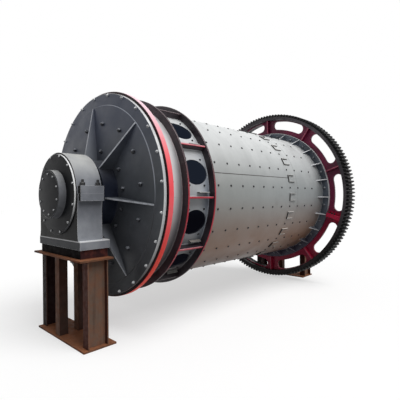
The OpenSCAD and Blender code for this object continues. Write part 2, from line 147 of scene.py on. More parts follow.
scene.view_settings.view_transform = "Standard"
world = bpy.data.worlds.new("studio")
scene.world = world
world.use_nodes = True
surround = world.node_tree.nodes["Background"]
surround.inputs["Color"].default_value = (1.0, 1.0, 1.0, 1.0)
unlike_when_seen(world.node_tree, surround.inputs["Strength"], SKY_LIGHT, SKY_SEEN)

sun = bpy.data.objects.new("studio_sun", bpy.data.lights.new("studio_sun", "SUN"))
scene.collection.objects.link(sun)
sun.data.energy = SUN_LIGHT
sun.data.angle = math.radians(SUN_SPREAD)
sun.rotation_euler = SUN_FROM.to_track_quat("Z", "Y").to_euler()

floor_mesh = bpy.data.meshes.new("studio_floor")
corners = FLOOR_HALF * np.array([[-1, -1, 0], [1, -1, 0], [1, 1, 0], [-1, 1, 0]], float)
floor_mesh.from_pydata((corners + [0, 0, floor_z - FLOOR_DROP]).tolist(), [], [(0, 1, 2, 3)])
studio_floor = bpy.data.objects.new("studio_floor", floor_mesh)
scene.collection.objects.link(studio_floor)
floor_paint = bpy.data.materials.new("studio_floor")
floor_paint.use_nodes = True
floor_tree = floor_paint.node_tree
floor_shader = floor_tree.nodes["Principled BSDF"]
floor_shader.inputs["Roughness"].default_value = 1.0
floor_shader.inputs["Specular IOR Level"].default_value = 0.0
floor_shader.inputs["Emission Color"].default_value = (1.0, 1.0, 1.0, 1.0)
unlike_when_seen(floor_tree, floor_shader.inputs["Base Color"], FLOOR_BOUNCE, FLOOR_TONE)
unlike_when_seen(floor_tree, floor_shader.inputs["Emission Strength"], 0.0, FLOOR_GLOW)
floor_mesh.materials.append(floor_paint)
print("sun", SUN_LIGHT, "surround", SKY_LIGHT)

# %% [markdown]
# ## Drum coordinates
# Nearly everything on the mill is round, so points are worked out as x along the axis, a radius and an
# angle, and one function turns whole arrays of them into places. Pieces could also be made flat and
# turned into place as objects, but every object has to stay unturned at the origin. Both ends are alike,
# so what sits at an end is given by how far it stands out from the cover's face there.

# %% Drum coordinates
END_NAMES = ("front", "rear")


def on_drum(x, r, angle):
    """Points (face_x + x, -r cos a, axis_z + r sin a), with the three inputs spread over each other."""
    a = np.radians(angle)
    x, r, a = np.broadcast_arrays(x, r, a)
    return np.stack([face_x + x, -r * np.cos(a), axis_z + r * np.sin(a)], axis=-1)


def radial(x, angle):
    """The outward direction at an angle around the drum."""
    return on_drum(x, 1.0, angle) - on_drum(x, 0.0, angle)


def tangent(x, angle):
    """The direction of a rising angle around the drum."""
    return radial(x, np.asarray(angle) + 90)


def at_end(end, u):
    """x of a place u metres out from the face of the front (0) or rear (1) cover."""
    return far_x + u if end else -u


def grid(*values):
    """Every combination of the values, as one flat array for each."""
    return (v.ravel() for v in np.meshgrid(*values, indexing="ij"))


print("the shell's top is at", on_drum(0.0, SHELL_R, 90.0).round(3))

# %% [markdown]
# ## Making meshes
# A mesh is made from an array of points and a list of faces. Its doubled points are merged, its faces
# turned outwards, and edges sharper than an angle stay sharp while the rest shade smoothly. Round pieces
# are outlines in x and radius, turned about the axis. The Spin tool could turn them as well, but arrays
# close the ring exactly and say how many steps it takes. Pieces whose solid already has the right shape
# are copies of it, with their edges rounded by a bevel. Each piece rides on a body and has one finish,
# and a piece made in place of a node hides that node.

# %% Mesh helpers
MERGE_DISTANCE, FLAT_ANGLE = 1e-5, math.radians(0.6)


def settle(name, mesh, body, finish, sharp):
    """Links a mesh as a piece of the mill: smooth but for its sharp edges, with its finish and body."""
    mesh.shade_smooth()
    mesh.set_sharp_from_angle(angle=math.radians(sharp))
    mesh.materials.append(finish)
    piece = bpy.data.objects.new(name, mesh)
    scene.collection.objects.link(piece)
    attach(piece, body)
    return piece


def make_piece(name, points, faces, body, slot, finish, sharp=35.0):
    """An object with these points and faces that rides on a body and has one finish."""
    mesh = bpy.data.meshes.new(name)
    mesh.from_pydata(np.asarray(points).reshape(-1, 3).tolist(), [], faces)
    work = bmesh.new()
    work.from_mesh(mesh)
    bmesh.ops.remove_doubles(work, verts=work.verts, dist=MERGE_DISTANCE)
    bmesh.ops.recalc_face_normals(work, faces=work.faces)
    work.to_mesh(mesh)
    work.free()
    return settle(name, mesh, body, finish, sharp)


def grid_faces(rows, columns, wrap_rows=False, wrap_columns=False):
    """Quads (i, j), (i+1, j), (i+1, j+1), (i, j+1) over points numbered row by row."""
    i, j = grid(np.arange(rows - (not wrap_rows)), np.arange(columns - (not wrap_columns)))
    i2, j2 = (i + 1) % rows, (j + 1) % columns
    return np.stack([i * columns + j, i2 * columns + j, i2 * columns + j2, i * columns + j2], axis=1)


def joined(parts):
    """Several (points, faces) as one: each part's faces count on from the points of the parts before."""
    points, faces, offset = [], [], 0
    for part_points, part_faces in parts:
        points.append(part_points)
        faces += [[index + offset for index in face] for face in part_faces]
        offset += len(part_points)
    return np.concatenate(points), faces


def eased(outline, radius, steps=3):
    """Rounds each corner P of a closed outline: P + d((1-t)^2 a + t^2 b), a and b towards its neighbours.

    d is the radius, or less where an edge is too short for it. Points on the axis keep their corner.
    """
    p = np.asarray(outline, float)
    before, after = np.roll(p, 1, axis=0) - p, np.roll(p, -1, axis=0) - p
    length_a = np.linalg.norm(before, axis=1, keepdims=True)
    length_b = np.linalg.norm(after, axis=1, keepdims=True)
    d = np.minimum(radius, 0.45 * np.minimum(length_a, length_b)) * (p[:, 1:] > 1e-6)
    t = np.linspace(0, 1, steps + 1)[None, :, None]
    a, b = (before / length_a)[:, None], (after / length_b)[:, None]
    return (p[:, None] + d[:, None] * ((1 - t) ** 2 * a + t**2 * b)).reshape(-1, 2)


def turned(outline, start=0.0, stop=360.0, step=2.5):
    """Points and faces of a closed (x, r) outline turned about the drum's axis from start to stop."""
    outline = np.asarray(outline, float)
    full = stop - start >= 360
    count = round((stop - start) / step)
    angles = np.linspace(start, stop, count, endpoint=False) if full else np.linspace(start, stop, count + 1)
    points = on_drum(outline[None, :, 0], outline[None, :, 1], angles[:, None])
    faces = grid_faces(len(angles), len(outline), full, True).tolist()
    if not full:
        first = np.arange(len(outline))
        faces += [first[::-1].tolist(), (first + (len(angles) - 1) * len(outline)).tolist()]
    return points, faces


def turned_piece(name, node, outline, ease, body, slot, finish, *sweep):
    """A piece turned from an outline with eased corners, all the way round or as far as sweep says."""
    piece = make_piece(name, *turned(eased(outline, ease), *sweep), body, slot, finish)
    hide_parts(node)
    return piece


def dressed(node, body, finish, bevel, sharp=35.0):
    """A copy of a CAD node with its triangles merged and its edges rounded. It stands for the node."""
    mesh = bpy.data.meshes.new(node)
    work = bmesh.new()
    work.from_mesh(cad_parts[node].data)
    bmesh.ops.remove_doubles(work, verts=work.verts, dist=MERGE_DISTANCE)
    bmesh.ops.dissolve_limit(work, angle_limit=FLAT_ANGLE, verts=work.verts, edges=work.edges)
    work.to_mesh(mesh)
    work.free()
    if mesh.has_custom_normals:
        mesh.attributes.remove(mesh.attributes["custom_normal"])
    mesh.materials.clear()
    piece = settle(node + "_finished", mesh, body, finish, sharp)
    rounding = piece.modifiers.new("rounding", "BEVEL")
    rounding.width = bevel
    rounding.segments = 2
    rounding.limit_method = "ANGLE"
    rounding.angle_limit = math.radians(sharp)
    rounding.harden_normals = True
    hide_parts(node)
    return piece


print("a full turn takes", len(turned([(0, 1), (1, 1), (1, 2)])[1]) // 3, "steps")

# %% [markdown]
# ## Finishes
# A finish is a node tree around one Principled shader. Wiring nodes one by one is long-winded, so the
# class below gives each kind of node a short call: arithmetic, vectors, noise, a soft threshold and a
# blend. Painted images could carry the same marks, but they would need every piece unwrapped. Noise that
# reads Object coordinates in metres fits them all, and a 3 mm speck is a 3 mm speck on the drum and on a
# bolt alike.

# %% A class for node trees
def seen(red, green, blue):
    """The linear colour of one given as a screen shows it, 0 to 255."""
    c = np.array([red, green, blue]) / 255
    linear = np.where(c <= 0.04045, c / 12.92, ((c + 0.055) / 1.055) ** 2.4)
    return (*linear.tolist(), 1.0)


class Nodes:
    """A material's node tree, and one short call for each kind of node."""

    def __init__(self, name):
        self.material = bpy.data.materials.new(name)
        self.material.use_nodes = True
        self.tree = self.material.node_tree
        coordinates = self.tree.nodes.new("ShaderNodeTexCoord")
        self.place, self.normal = coordinates.outputs["Object"], coordinates.outputs["Normal"]

    def feed(self, socket, value):
        """Links a socket, or sets its plain value."""
        if isinstance(value, bpy.types.NodeSocket):
            self.tree.links.new(value, socket)
        else:
            socket.default_value = value

    def maths(self, operation, a, b=0.0):
        """Arithmetic on one or two numbers."""
        node = self.tree.nodes.new("ShaderNodeMath")
        node.operation = operation
        self.feed(node.inputs[0], a)
        self.feed(node.inputs[1], b)
        return node.outputs[0]

    def times(self, first, *others):
        """The product of sockets and plain numbers."""
        for other in others:
            first = self.maths("MULTIPLY", first, other)
        return first

    def vector(self, operation, a, b=(0, 0, 0)):
        """Arithmetic on one or two vectors."""
        node = self.tree.nodes.new("ShaderNodeVectorMath")
        node.operation = operation
        self.feed(node.inputs[0], a)
        self.feed(node.inputs[1], b)
        return node.outputs["Value" if operation in ("LENGTH", "DOT_PRODUCT") else "Vector"]

    def split(self, vector):
        """The x, y and z of a vector."""
        node = self.tree.nodes.new("ShaderNodeSeparateXYZ")
        self.feed(node.inputs[0], vector)
        return node.outputs[0], node.outputs[1], node.outputs[2]

    def join(self, x, y, z):
        """The vector of an x, y and z."""
        node = self.tree.nodes.new("ShaderNodeCombineXYZ")
        for socket, value in zip(node.inputs, (x, y, z)):
            self.feed(socket, value)
        return node.outputs[0]

    def noise(self, size, detail=5, rough=0.55, shift=0.0, place=None):
        """Noise from 0 to 1 whose lumps are about `size` metres across; shift moves it elsewhere."""
        node = self.tree.nodes.new("ShaderNodeTexNoise")
        node.inputs["Scale"].default_value = 1.0 / size
        node.inputs["Detail"].default_value = detail
        node.inputs["Roughness"].default_value = rough
        base = place or self.place
        self.feed(node.inputs["Vector"], self.vector("ADD", base, (shift, shift, shift)) if shift else base)
        return node.outputs["Fac"]

    def step(self, value, low, high, start=0.0, stop=1.0):
        """A soft threshold: start at low and before it, stop at high and beyond it."""
        node = self.tree.nodes.new("ShaderNodeMapRange")
        node.interpolation_type = "SMOOTHSTEP"
        for name, number in (("From Min", low), ("From Max", high), ("To Min", start), ("To Max", stop)):
            node.inputs[name].default_value = number
        self.feed(node.inputs["Value"], value)
        return node.outputs["Result"]

    def blots(self, size, low, high, start=0.0, stop=1.0, **noise):
        """Soft blots about `size` metres across: noise put through a soft threshold."""
        return self.step(self.noise(size, **noise), low, high, start, stop)

    def blend(self, share, a, b):
        """Colour a, going over to colour b as the share rises to 1."""
        node = self.tree.nodes.new("ShaderNodeMix")
        node.data_type = "RGBA"
        self.feed(node.inputs[0], share)
        self.feed(node.inputs[6], a)
        self.feed(node.inputs[7], b)
        return node.outputs[2]


print("tones run from", seen(0, 0, 0)[:3], "to", seen(255, 255, 255)[:3])

# %% [markdown]
# ### What wear, dirt and painted light follow
# Paint wears off at edges and dust lies on what faces up. Some coats are painted light and shade instead:
# lighter tops, highlights on edges and rims, and darker end faces. So a finish is laid down in coats,
# each a tone and the masks that say where it goes. The masks come from the place on the mill and from
# the way the surface faces. The mask of an edge compares the true normal with one that is rounded off
# over a few millimetres: the two differ only near an edge.

# %% A class for finishes
class Finish(Nodes):
    """One finish under construction: its shader, its colour and relief so far, and its masks."""

    def __init__(self, name, roughness=0.5, metallic=0.0, specular=0.5):
        super().__init__(name)
        self.shader = self.tree.nodes["Principled BSDF"]
        self.shader.inputs["Roughness"].default_value = roughness
        self.shader.inputs["Metallic"].default_value = metallic
        self.shader.inputs["Specular IOR Level"].default_value = specular
        self.colour = self.bumped = None

    def mottle(self, dark, light, size, low=0.35, high=0.7, **noise):
        """The first coat: two tones in soft patches."""
        self.colour = self.blend(self.blots(size, low, high, **noise), dark, light)

    def coat(self, tone, *masks):
        """Lays a tone over the colour so far, as far as the product of the masks says."""
        self.colour = self.blend(self.times(*masks), self.colour, tone)

    def stain(self, tone, share, size, low, high, **noise):
        """A coat in soft blots, as strong as the share says."""
        self.coat(tone, self.blots(size, low, high, **noise), share)

    def fade(self, tone, share, start, stop):
        """A coat that comes in between one height over the axis and another, up or down."""
        self.coat(tone, self.step(self.height, start, stop), share)

    @functools.cached_property
    def height(self):
        """The height over the drum's axis."""
        return self.maths("SUBTRACT", self.split(self.place)[2], axis_z)

    @functools.cached_property
    def drum(self):
        """(x from the cover's face, radius, angle in degrees from the -Y side) as three sockets."""
        x, y, _ = self.split(self.place)
        radius = self.vector("LENGTH", self.join(0.0, y, self.height))
        angle = self.maths("DEGREES", self.maths("ARCTAN2", self.height, self.maths("MULTIPLY", y, -1.0)))
        return self.maths("SUBTRACT", x, face_x), radius, angle

    def worn_edge(self, width=0.006):
        """0 on open faces, rising towards 1 on an edge, about `width` metres wide."""
        rounded = self.tree.nodes.new("ShaderNodeBevel")
        rounded.samples = 4
        rounded.inputs["Radius"].default_value = width
        true_normal = self.tree.nodes.new("ShaderNodeNewGeometry").outputs["Normal"]
        agreement = self.vector("DOT_PRODUCT", rounded.outputs[0], true_normal)
        return self.step(agreement, 0.99, 0.80)

    def chips(self, tone, share, width=0.004, size=0.04, low=0.3, start=0.0):
        """A coat of bare metal or primer on worn edges, broken up by noise but for the part `start`."""
        self.coat(tone, self.worn_edge(width), self.blots(size, low, 0.6, start, shift=5.3), share)

    def up(self):
        """How far the surface faces up: 1 on top, 0 on a wall, -1 below."""
        return self.split(self.normal)[2]

    def end_face(self):
        """1 on faces that look along the drum's axis, to either end, 0 on the others."""
        return self.step(self.maths("ABSOLUTE", self.split(self.normal)[0]), 0.6, 0.95)

    def narrow(self):
        """1 on the narrow faces of a plate that stands out from the drum, 0 on its two broad sides.

        The broad sides face round the drum, along t = (0, -h, y) with h the height over the axis, so the
        mask is a soft threshold on |n . t| / |t|.
        """
        y = self.split(self.place)[1]
        around = self.vector("NORMALIZE", self.join(0.0, self.maths("MULTIPLY", self.height, -1.0), y))
        return self.step(self.maths("ABSOLUTE", self.vector("DOT_PRODUCT", self.normal, around)), 0.6, 0.3)

    def line(self, value, centre, half, soft=0.4):
        """1 within `half` of a centre value, 0 outside it, with a soft border of that share."""
        off = self.maths("ABSOLUTE", self.maths("SUBTRACT", value, centre))
        return self.step(off, half * (1 + soft), half * (1 - soft))

    def bump(self, height, distance, strength=1.0):
        """Adds relief: height 0 to 1 stands for `distance` metres."""
        node = self.tree.nodes.new("ShaderNodeBump")
        node.inputs["Distance"].default_value = distance
        node.inputs["Strength"].default_value = strength
        self.feed(node.inputs["Height"], height)
        if self.bumped is not None:
            self.tree.links.new(self.bumped, node.inputs["Normal"])
        self.bumped = node.outputs["Normal"]

    def glow(self, tone):
        """Light of the surface's own, as bright as the tone."""
        self.feed(self.shader.inputs["Emission Color"], tone)
        self.shader.inputs["Emission Strength"].default_value = 1.0

    def gloss(self, smooth, rough, size=0.2, detail=4):
        """A roughness between two values, in soft blots."""
        return self.blots(size, 0.3, 0.7, smooth, rough, detail=detail, shift=1.9)

    def done(self, roughness):
        """Connects the colour, the roughness and the relief, and returns the material."""
        self.feed(self.shader.inputs["Base Color"], self.colour)
        self.feed(self.shader.inputs["Roughness"], roughness)
        self.tree.links.new(self.bumped, self.shader.inputs["Normal"])
        return self.material


print("a finish offers", ", ".join(name for name in vars(Finish) if name[0] != "_"))

# %% [markdown]
# ### Painted castings and plate
# Shop paint is never one colour: it is thicker here and thinner there, dust lies on what faces up, and
# corners rub through to bare metal or primer. This one function makes the grey and slate paints, so
# they differ only in their colours, their gloss and a few marks that are switched on where the piece
# has them. Some are marks of use; others are painted light and shade: near-white tops, highlights on
# edges and turned rims, darker lower parts and nearly black end faces.

# %% Paint for castings and plate
FOOT_TOP = 1.094 - axis_z
END_PLATE_R = 0.432


def paint(name, light, dark, worn, roughness=0.45, dust_and_top_light=0.1, specular=0.4, edge_wear_and_highlight=0.7, end_face_shade=None,
          foot_top=None, edges=None, bare_from=None, bare_corner=False, low=None):
    """Paint between two tones in soft patches, with a light tone on top, worn edges and a casting's grain.

    The light tone on top is dust, and where its share is large also painted light from above. The worn
    edges are partly a painted highlight. A tone for end faces darkens what faces along the axis as
    painted shade, less so below `foot_top` over the axis, where a bright line along the foot's upper
    edge is a painted highlight. `edges` is the tone of a painted highlight on the narrow sawn faces of
    a plate. Beyond the radius `bare_from` a turned rim is bare, and bright as a painted highlight that
    fades out on its lower half; with `bare_corner` its end faces are as well. `low` is the tone of the
    lower part, partly dirt and partly painted shade.
    """
    f = Finish(name, roughness, specular=specular)
    f.mottle(dark, light, 0.35, 0.35, 0.68)
    f.stain(dark, 0.35, 0.07, 0.52, 0.74, detail=6, rough=0.65, shift=3.1)
    # Painted shade: what faces along the axis is darkened, less below the foot's top.
    if end_face_shade:
        shade_blots = f.blots(0.22, 0.25, 0.55, 0.975, rough=0.6, shift=8.2)
        over_foot = f.step(f.height, foot_top - 0.003, foot_top + 0.003, 0.78) if foot_top else 1.0
        f.coat(end_face_shade, f.end_face(), shade_blots, over_foot)
    # A painted highlight on the narrow faces of a plate.
    if edges:
        f.coat(edges, f.narrow(), f.blots(0.05, 0.3, 0.6, 0.9, rough=0.6, shift=6.4))
    # Darker lower part: partly dirt, partly painted shade.
    if low:
        f.coat(low, f.step(f.height, -0.45, -0.95, 0.0, 0.85))
    # Dust on what faces up, and where its share is large painted light from above.
    patchy = f.blots(0.25, 0.3, 0.7, 0.5, detail=4, shift=7.7)
    f.coat(seen(205, 205, 200), f.step(f.up(), 0.2, 1.0), patchy, dust_and_top_light)
    # Worn edges, partly a painted highlight, kept off the split of cap and housing.
    off_joint = f.step(f.maths("ABSOLUTE", f.height), 0.004, 0.012, 0.25)
    f.coat(worn, f.worn_edge(), f.blots(0.03, 0.3, 0.6, 0.5, shift=5.3), off_joint, edge_wear_and_highlight)
    # A painted highlight along the foot's upper edge.
    if foot_top:
        f.coat(worn, f.line(f.height, foot_top - 0.005, 0.006), f.step(f.up(), -0.5, 0.0), 0.92)
    # The turned rim: bare, with a painted highlight that fades out on its lower half.
    if bare_from:
        rim = f.step(f.drum[1], bare_from - 0.001, bare_from)
        if not bare_corner:
            rim = f.times(rim, f.step(f.maths("ABSOLUTE", f.split(f.normal)[0]), 0.95, 0.7))
        f.coat(seen(244, 245, 246), rim, f.step(f.height, -0.34, -0.1))
    f.bump(f.noise(0.012), 0.0004)
    f.bump(f.noise(0.5, 2), 0.004, 0.5)
    return f.done(f.maths("ADD", roughness - 0.1, f.times(f.noise(0.12, 4, shift=1.3), 0.25)))


# The bearing's near-white tops are dust and painted light from above; its nearly black end faces are painted
# shade, and its bright plate rim a painted highlight.
bearing_grey = paint(
    "bearing_grey", seen(154, 157, 163), seen(122, 125, 132), seen(240, 241, 243),
    roughness=0.36, dust_and_top_light=0.85, specular=0.06, edge_wear_and_highlight=0.95, end_face_shade=seen(7, 7, 8), foot_top=FOOT_TOP)
bearing_plate_grey = paint(
    "bearing_plate_grey", seen(126, 128, 133), seen(100, 102, 107), seen(190, 192, 195),
    roughness=0.36, dust_and_top_light=0.5, specular=0.05, end_face_shade=seen(26, 27, 30), bare_from=END_PLATE_R - 0.004)
# The trunnion sits in the bearing's shade: its paint is made near black as painted shade.
trunnion_shade_dark = paint(
    "trunnion_shade_dark", seen(42, 48, 62), seen(24, 28, 42), seen(84, 90, 102), specular=0.1)
# The slate's lower part is darker, partly dirt and partly painted shade. The flange's bright rim and the
# gussets' near-white narrow faces are painted highlights.
flange_slate = paint(
    "flange_slate", seen(104, 112, 124), seen(62, 69, 79), seen(222, 225, 228), edge_wear_and_highlight=0.95,
    bare_from=extent("gear_flange")[2] - 0.007, bare_corner=True, low=seen(46, 38, 58))
gusset_slate = paint(
    "gusset_slate", seen(104, 112, 124), seen(70, 77, 87), seen(232, 234, 236), edge_wear_and_highlight=0.9,
    edges=seen(250, 252, 255), low=seen(70, 62, 80))
print("grey paints", 5)

# %% [markdown]
# ### The charcoal of the end covers
# The covers are dark castings with a turned, almost bare rim. The paint is bluish on top, which is
# painted sky light, and nearly black low down, which is painted shade. A thin line at the edge of the
# raised disc is a painted highlight above the axis and painted shade below it. The rim could be a
# material of its own on its own faces, but a mask on the radius lets the paint end where it likes, so
# near the rim it goes over to silver grey, partly a painted highlight, with painted shade low down.

# %% Charcoal cover with a bright rim
RAISED_R = SHELL_R - 0.032


def cover_paint(name, edges=None):
    """Charcoal paint, silver grey on the turned rim, with painted sky light on top and painted shade below.

    With `edges`, the narrow free edges of the ribs take that tone as a painted highlight, and their
    upright sides take a painted light that is stronger the further out they stand.
    """
    f = Finish(name, 0.42, specular=0.3)
    x, radius, angle = f.drum
    f.mottle(seen(71, 75, 81), seen(95, 99, 106), 0.6)
    # Painted sky light on top and painted shade low down.
    f.fade(seen(79, 86, 108), 0.6, 0.1, 1.0)
    f.fade(seen(42, 42, 44), 0.65, 0.1, -0.9)
    f.stain(seen(118, 124, 136), 0.35, 0.16, 0.58, 0.8, detail=7, rough=0.7, shift=4.2)
    # At the raised disc's edge: a painted highlight above the axis, painted shade below it.
    disc_edge_highlight_and_shade = f.blend(f.step(f.height, -0.25, 0.25), seen(34, 34, 38), seen(176, 181, 192))
    f.coat(disc_edge_highlight_and_shade, f.line(radius, RAISED_R + 0.002, 0.004), f.step(angle, 98, 70), 0.75)
    if edges:
        # Painted light on the ribs' upright sides, stronger further out, and a painted highlight on their
        # free edges.
        off_middle = f.maths("ABSOLUTE", f.maths("SUBTRACT", x, far_x / 2))
        upright = f.step(f.maths("ABSOLUTE", f.split(f.normal)[1]), 0.76, 0.86)
        f.coat(seen(146, 150, 158), upright, f.step(off_middle, far_x / 2, far_x / 2 + 0.15, 0.15, 0.85))
        f.coat(edges, f.narrow(), f.blots(0.06, 0.3, 0.6, 0.6, rough=0.6, shift=6.4))
    f.chips(seen(176, 182, 190), 0.85, width=0.005, size=0.05, low=0.25, start=0.45)
    # The turned rim: bare and bright, partly a painted highlight, and painted shade low down.
    patches = f.blots(0.3, 0.35, 0.65, detail=4, shift=2.2)
    turned_rim_lit_and_shaded = f.blend(patches, seen(246, 247, 248), seen(212, 214, 216))
    turned_rim_lit_and_shaded = f.blend(f.step(f.height, -0.45, -1.0), turned_rim_lit_and_shaded, seen(66, 60, 60))
    f.coat(turned_rim_lit_and_shaded, f.step(radius, cover_r - 0.006, cover_r - 0.001))
    f.bump(f.noise(0.014), 0.0005)
    f.bump(f.noise(0.35, 3), 0.005, 0.5)
    return f.done(f.gloss(0.34, 0.52))


cover_charcoal = cover_paint("cover_charcoal")
cover_rib_charcoal = cover_paint("cover_rib_charcoal", seen(206, 210, 218))
print("cover paints", 2)

# %% [markdown]
# ### The shell's light grey
# The shell is rolled plate under a light, slightly glossy grey. Its patches run round the drum rather
# than along it, because the plate was rolled and painted that way, so their noise is drawn out by
# reading the place along the drum and the angle in unlike measures. It is lighter on top, which is
# painted sky light. Towards the floor it is brown and dark, partly dust and rust water and partly
# painted shade. The ring weld and the long seams are ground nearly flush, too flat for a mesh to show,
# so they are lines in the paint. The inside of the plate is bare steel, made near black as painted
# shade, and gives off a trace of blue light, which stands for what the other ports let in.

# %% Light grey shell paint
RING_SEAM_X = 2.786
SHELL_SEAM = 13.0
SEAM_FROM, SEAM_TO = 0.764, 2.544


def shell_paint(name, tones, low_dirt_and_shade):
    """Light grey shell paint. tones is a list of (x, colour): the paint goes over from one to the next.

    A long seam runs every 90 degrees from SHELL_SEAM: its distance is the angle off the nearest seam,
    ((a - seam + 45) mod 90) - 45, times the shell's radius.

    The shell is lighter on top as painted sky light. The last argument is the tone towards the floor,
    partly dirt and partly painted shade; the very bottom and the inside are darker still, as painted
    shade.
    """
    f = Finish(name, 0.42)
    x, radius, angle = f.drum
    f.colour = tones[0][1]
    for (x0, _), (x1, tone) in zip(tones, tones[1:]):
        wavy = f.maths("ADD", x, f.times(f.maths("SUBTRACT", f.noise(0.3, 4, shift=6.1), 0.5), 0.04))
        f.coat(tone, f.step(wavy, x0, x1))
    # Painted sky light on top.
    f.fade(seen(226, 228, 228), 0.88, 0.0, 0.85)
    around = f.join(f.times(x, 3.2), f.times(angle, 0.02), 0.0)
    f.stain(seen(128, 132, 132), 0.22, 1.0, 0.38, 0.72, rough=0.6, place=around)
    f.stain(seen(104, 105, 101), 0.3, 0.28, 0.56, 0.8, rough=0.6, shift=2.4)
    f.stain(seen(214, 216, 214), 0.2, 0.45, 0.55, 0.75, detail=4, shift=9.4)
    # Towards the floor: partly dirt, partly painted shade, darkest at the very bottom.
    f.fade(low_dirt_and_shade, 0.82, 0.02, -0.8)
    f.fade(seen(62, 48, 44), 0.8, -0.62, -1.03)
    f.stain(seen(96, 90, 84), 0.5, 0.02, 0.66, 0.76, detail=6, rough=0.7, shift=8.8)
    f.coat(seen(120, 122, 120), f.line(x, RING_SEAM_X, 0.006), 0.45)
    turn = f.maths("FLOORED_MODULO", f.maths("ADD", angle, 45 - SHELL_SEAM), 90.0)
    off_seam = f.times(f.maths("SUBTRACT", turn, 45.0), math.radians(1) * SHELL_R)
    stretch = f.times(f.step(x, SEAM_FROM - 0.002, SEAM_FROM), f.step(x, SEAM_TO, SEAM_TO - 0.01))
    broken = f.blots(0.08, 0.3, 0.5, 0.65, detail=4, shift=4.9)
    f.coat(seen(52, 50, 48), f.line(off_seam, 0.0, 0.0055), stretch, broken)
    f.chips(seen(92, 84, 78), 0.6, low=0.4)
    # The inside is made near black as painted shade; its faint glow stands for the other ports' light.
    inside = f.step(radius, SHELL_R - 0.002, SHELL_R - 0.004)
    f.coat(seen(12, 13, 17), inside)
    port_light = f.blend(f.step(f.height, -0.45, 0.3), seen(7, 7, 12), seen(27, 32, 42))
    f.glow(f.blend(inside, (0, 0, 0, 1), port_light))
    f.bump(f.noise(0.006, 4), 0.00015)
    f.bump(f.noise(0.4, 3, place=f.vector("MULTIPLY", f.place, (2.0, 1.0, 1.0))), 0.004, 0.4)
    return f.done(f.gloss(0.34, 0.52, 0.3))


shell_grey = shell_paint(
    "shell_grey", [(0.0, seen(153, 155, 152)), (3.2, seen(157, 162, 163))], seen(152, 105, 70))
# At the ported end the tones darken next to each port flange and the lower part goes dark grey: both painted
# shade.
port_zone_grey = shell_paint("port_zone_grey", [
    (0.0, seen(226, 227, 229)), (0.20, seen(218, 219, 221)), (0.335, seen(122, 124, 128)),
    (0.348, seen(180, 182, 184)), (0.56, seen(180, 183, 187)), (0.74, seen(146, 154, 166)),
], seen(66, 68, 72))
print("shell paints", 2)

# %% [markdown]
# ### Clips and bars
# The small clips and bars welded to the shell wear its grey. They could share the shell's paint, but
# they are so thin that what shows is their front, their underside and their tops, so this paint sets
# the three apart by the way each face looks: painted shade in front and beneath, a painted highlight on
# top, and a painted shadow line where they stand on the shell.

# %% Paint of clips and bars
def clip_paint(name, low_top_highlight):
    """The shell's grey on the clips, with painted shade in front and beneath and a painted highlight on top.

    Below the axis the painted highlight on top is weaker, in the tone of the second argument.
    """
    f = Finish(name, 0.5, specular=0.2)
    # The tone of the painted highlight on top, weaker below the axis.
    top = f.blend(f.step(f.height, -0.6, -0.2), low_top_highlight, seen(244, 240, 236))
    f.mottle(seen(138, 138, 136), seen(164, 165, 164), 0.05)
    # Painted shade on the front faces and on the undersides.
    f.coat(seen(26, 25, 25), f.step(f.split(f.normal)[0], -0.5, -0.9), 0.95)
    f.coat(seen(34, 32, 31), f.step(f.up(), -0.2, -0.8), 0.9)
    # A painted highlight on what faces up.
    f.coat(top, f.step(f.up(), 0.3, 0.9), 0.9)
    # A painted shadow line where the clip stands on the shell.
    f.coat(seen(34, 32, 32), f.step(f.drum[1], SHELL_R + 0.004, SHELL_R + 0.002))
    f.bump(f.noise(0.006, 4), 0.0003)
    return f.done(f.gloss(0.4, 0.6, 0.1))


clip_grey = clip_paint("clip_grey", seen(236, 226, 216))
bar_grey = clip_paint("bar_grey", seen(120, 114, 108))
print("paints of clips and bars", 2)

# %% [markdown]
# ### Red primer
# The flange at the discharge end is bright red primer. A plain red would look like plastic under this
# light, so the masks pale its top, partly chalky primer and partly painted light, warm its lower part,
# and blacken the front face as painted shade. Its faint glow is painted light, a stand-in and no
# property of the paint: in a darker scene it wants turning down.

# %% Bright red flange
def red_paint():
    """Red primer: pink on top, orange low down, and nearly black on its front face as painted shade.

    Its pink top is partly chalky primer and partly painted light. A faint emission of its own tone,
    painted light, keeps it as vivid as such a red looks in daylight.
    """
    f = Finish("red_flange", 0.4, specular=0.15)
    f.mottle(seen(255, 92, 102), seen(255, 114, 121), 0.3)
    # Pale on top: partly chalky primer, partly painted light.
    chalk_and_top_light = f.step(f.height, 0.25, 0.95)
    f.coat(seen(250, 216, 226), chalk_and_top_light)
    f.fade(seen(255, 78, 46), 0.85, -0.1, -0.9)
    f.stain(seen(120, 34, 34), 0.35, 0.06, 0.58, 0.78, detail=6, rough=0.7, shift=3.3)
    f.chips(seen(250, 190, 184), 0.5, low=0.35)
    # Painted shade: the front face is made nearly black.
    front = f.step(f.maths("MULTIPLY", f.split(f.normal)[0], -1.0), 0.6, 0.9)
    f.coat(f.blend(f.blots(0.12, 0.35, 0.7, shift=1.4), seen(30, 22, 24), seen(58, 30, 34)), front)
    # Painted light: a faint glow in the red's own tone.
    painted_glow = f.blend(f.step(f.height, -0.2, -0.9), seen(66, 10, 11), seen(84, 12, 5))
    painted_glow = f.blend(chalk_and_top_light, painted_glow, seen(24, 12, 14))
    f.glow(f.blend(front, painted_glow, (0, 0, 0, 1)))
    f.bump(f.noise(0.01), 0.0003)
    return f.done(f.gloss(0.34, 0.5))


red_flange = red_paint()
print("made", red_flange.name)

# %% [markdown]
# ### Black over red
# The port flanges and their ribs were sprayed near black over the same red, so red still shows on their
# outer edges. The border could be a fixed radius, but a sprayed edge is ragged. So noise is added to the
# radius before it is compared.

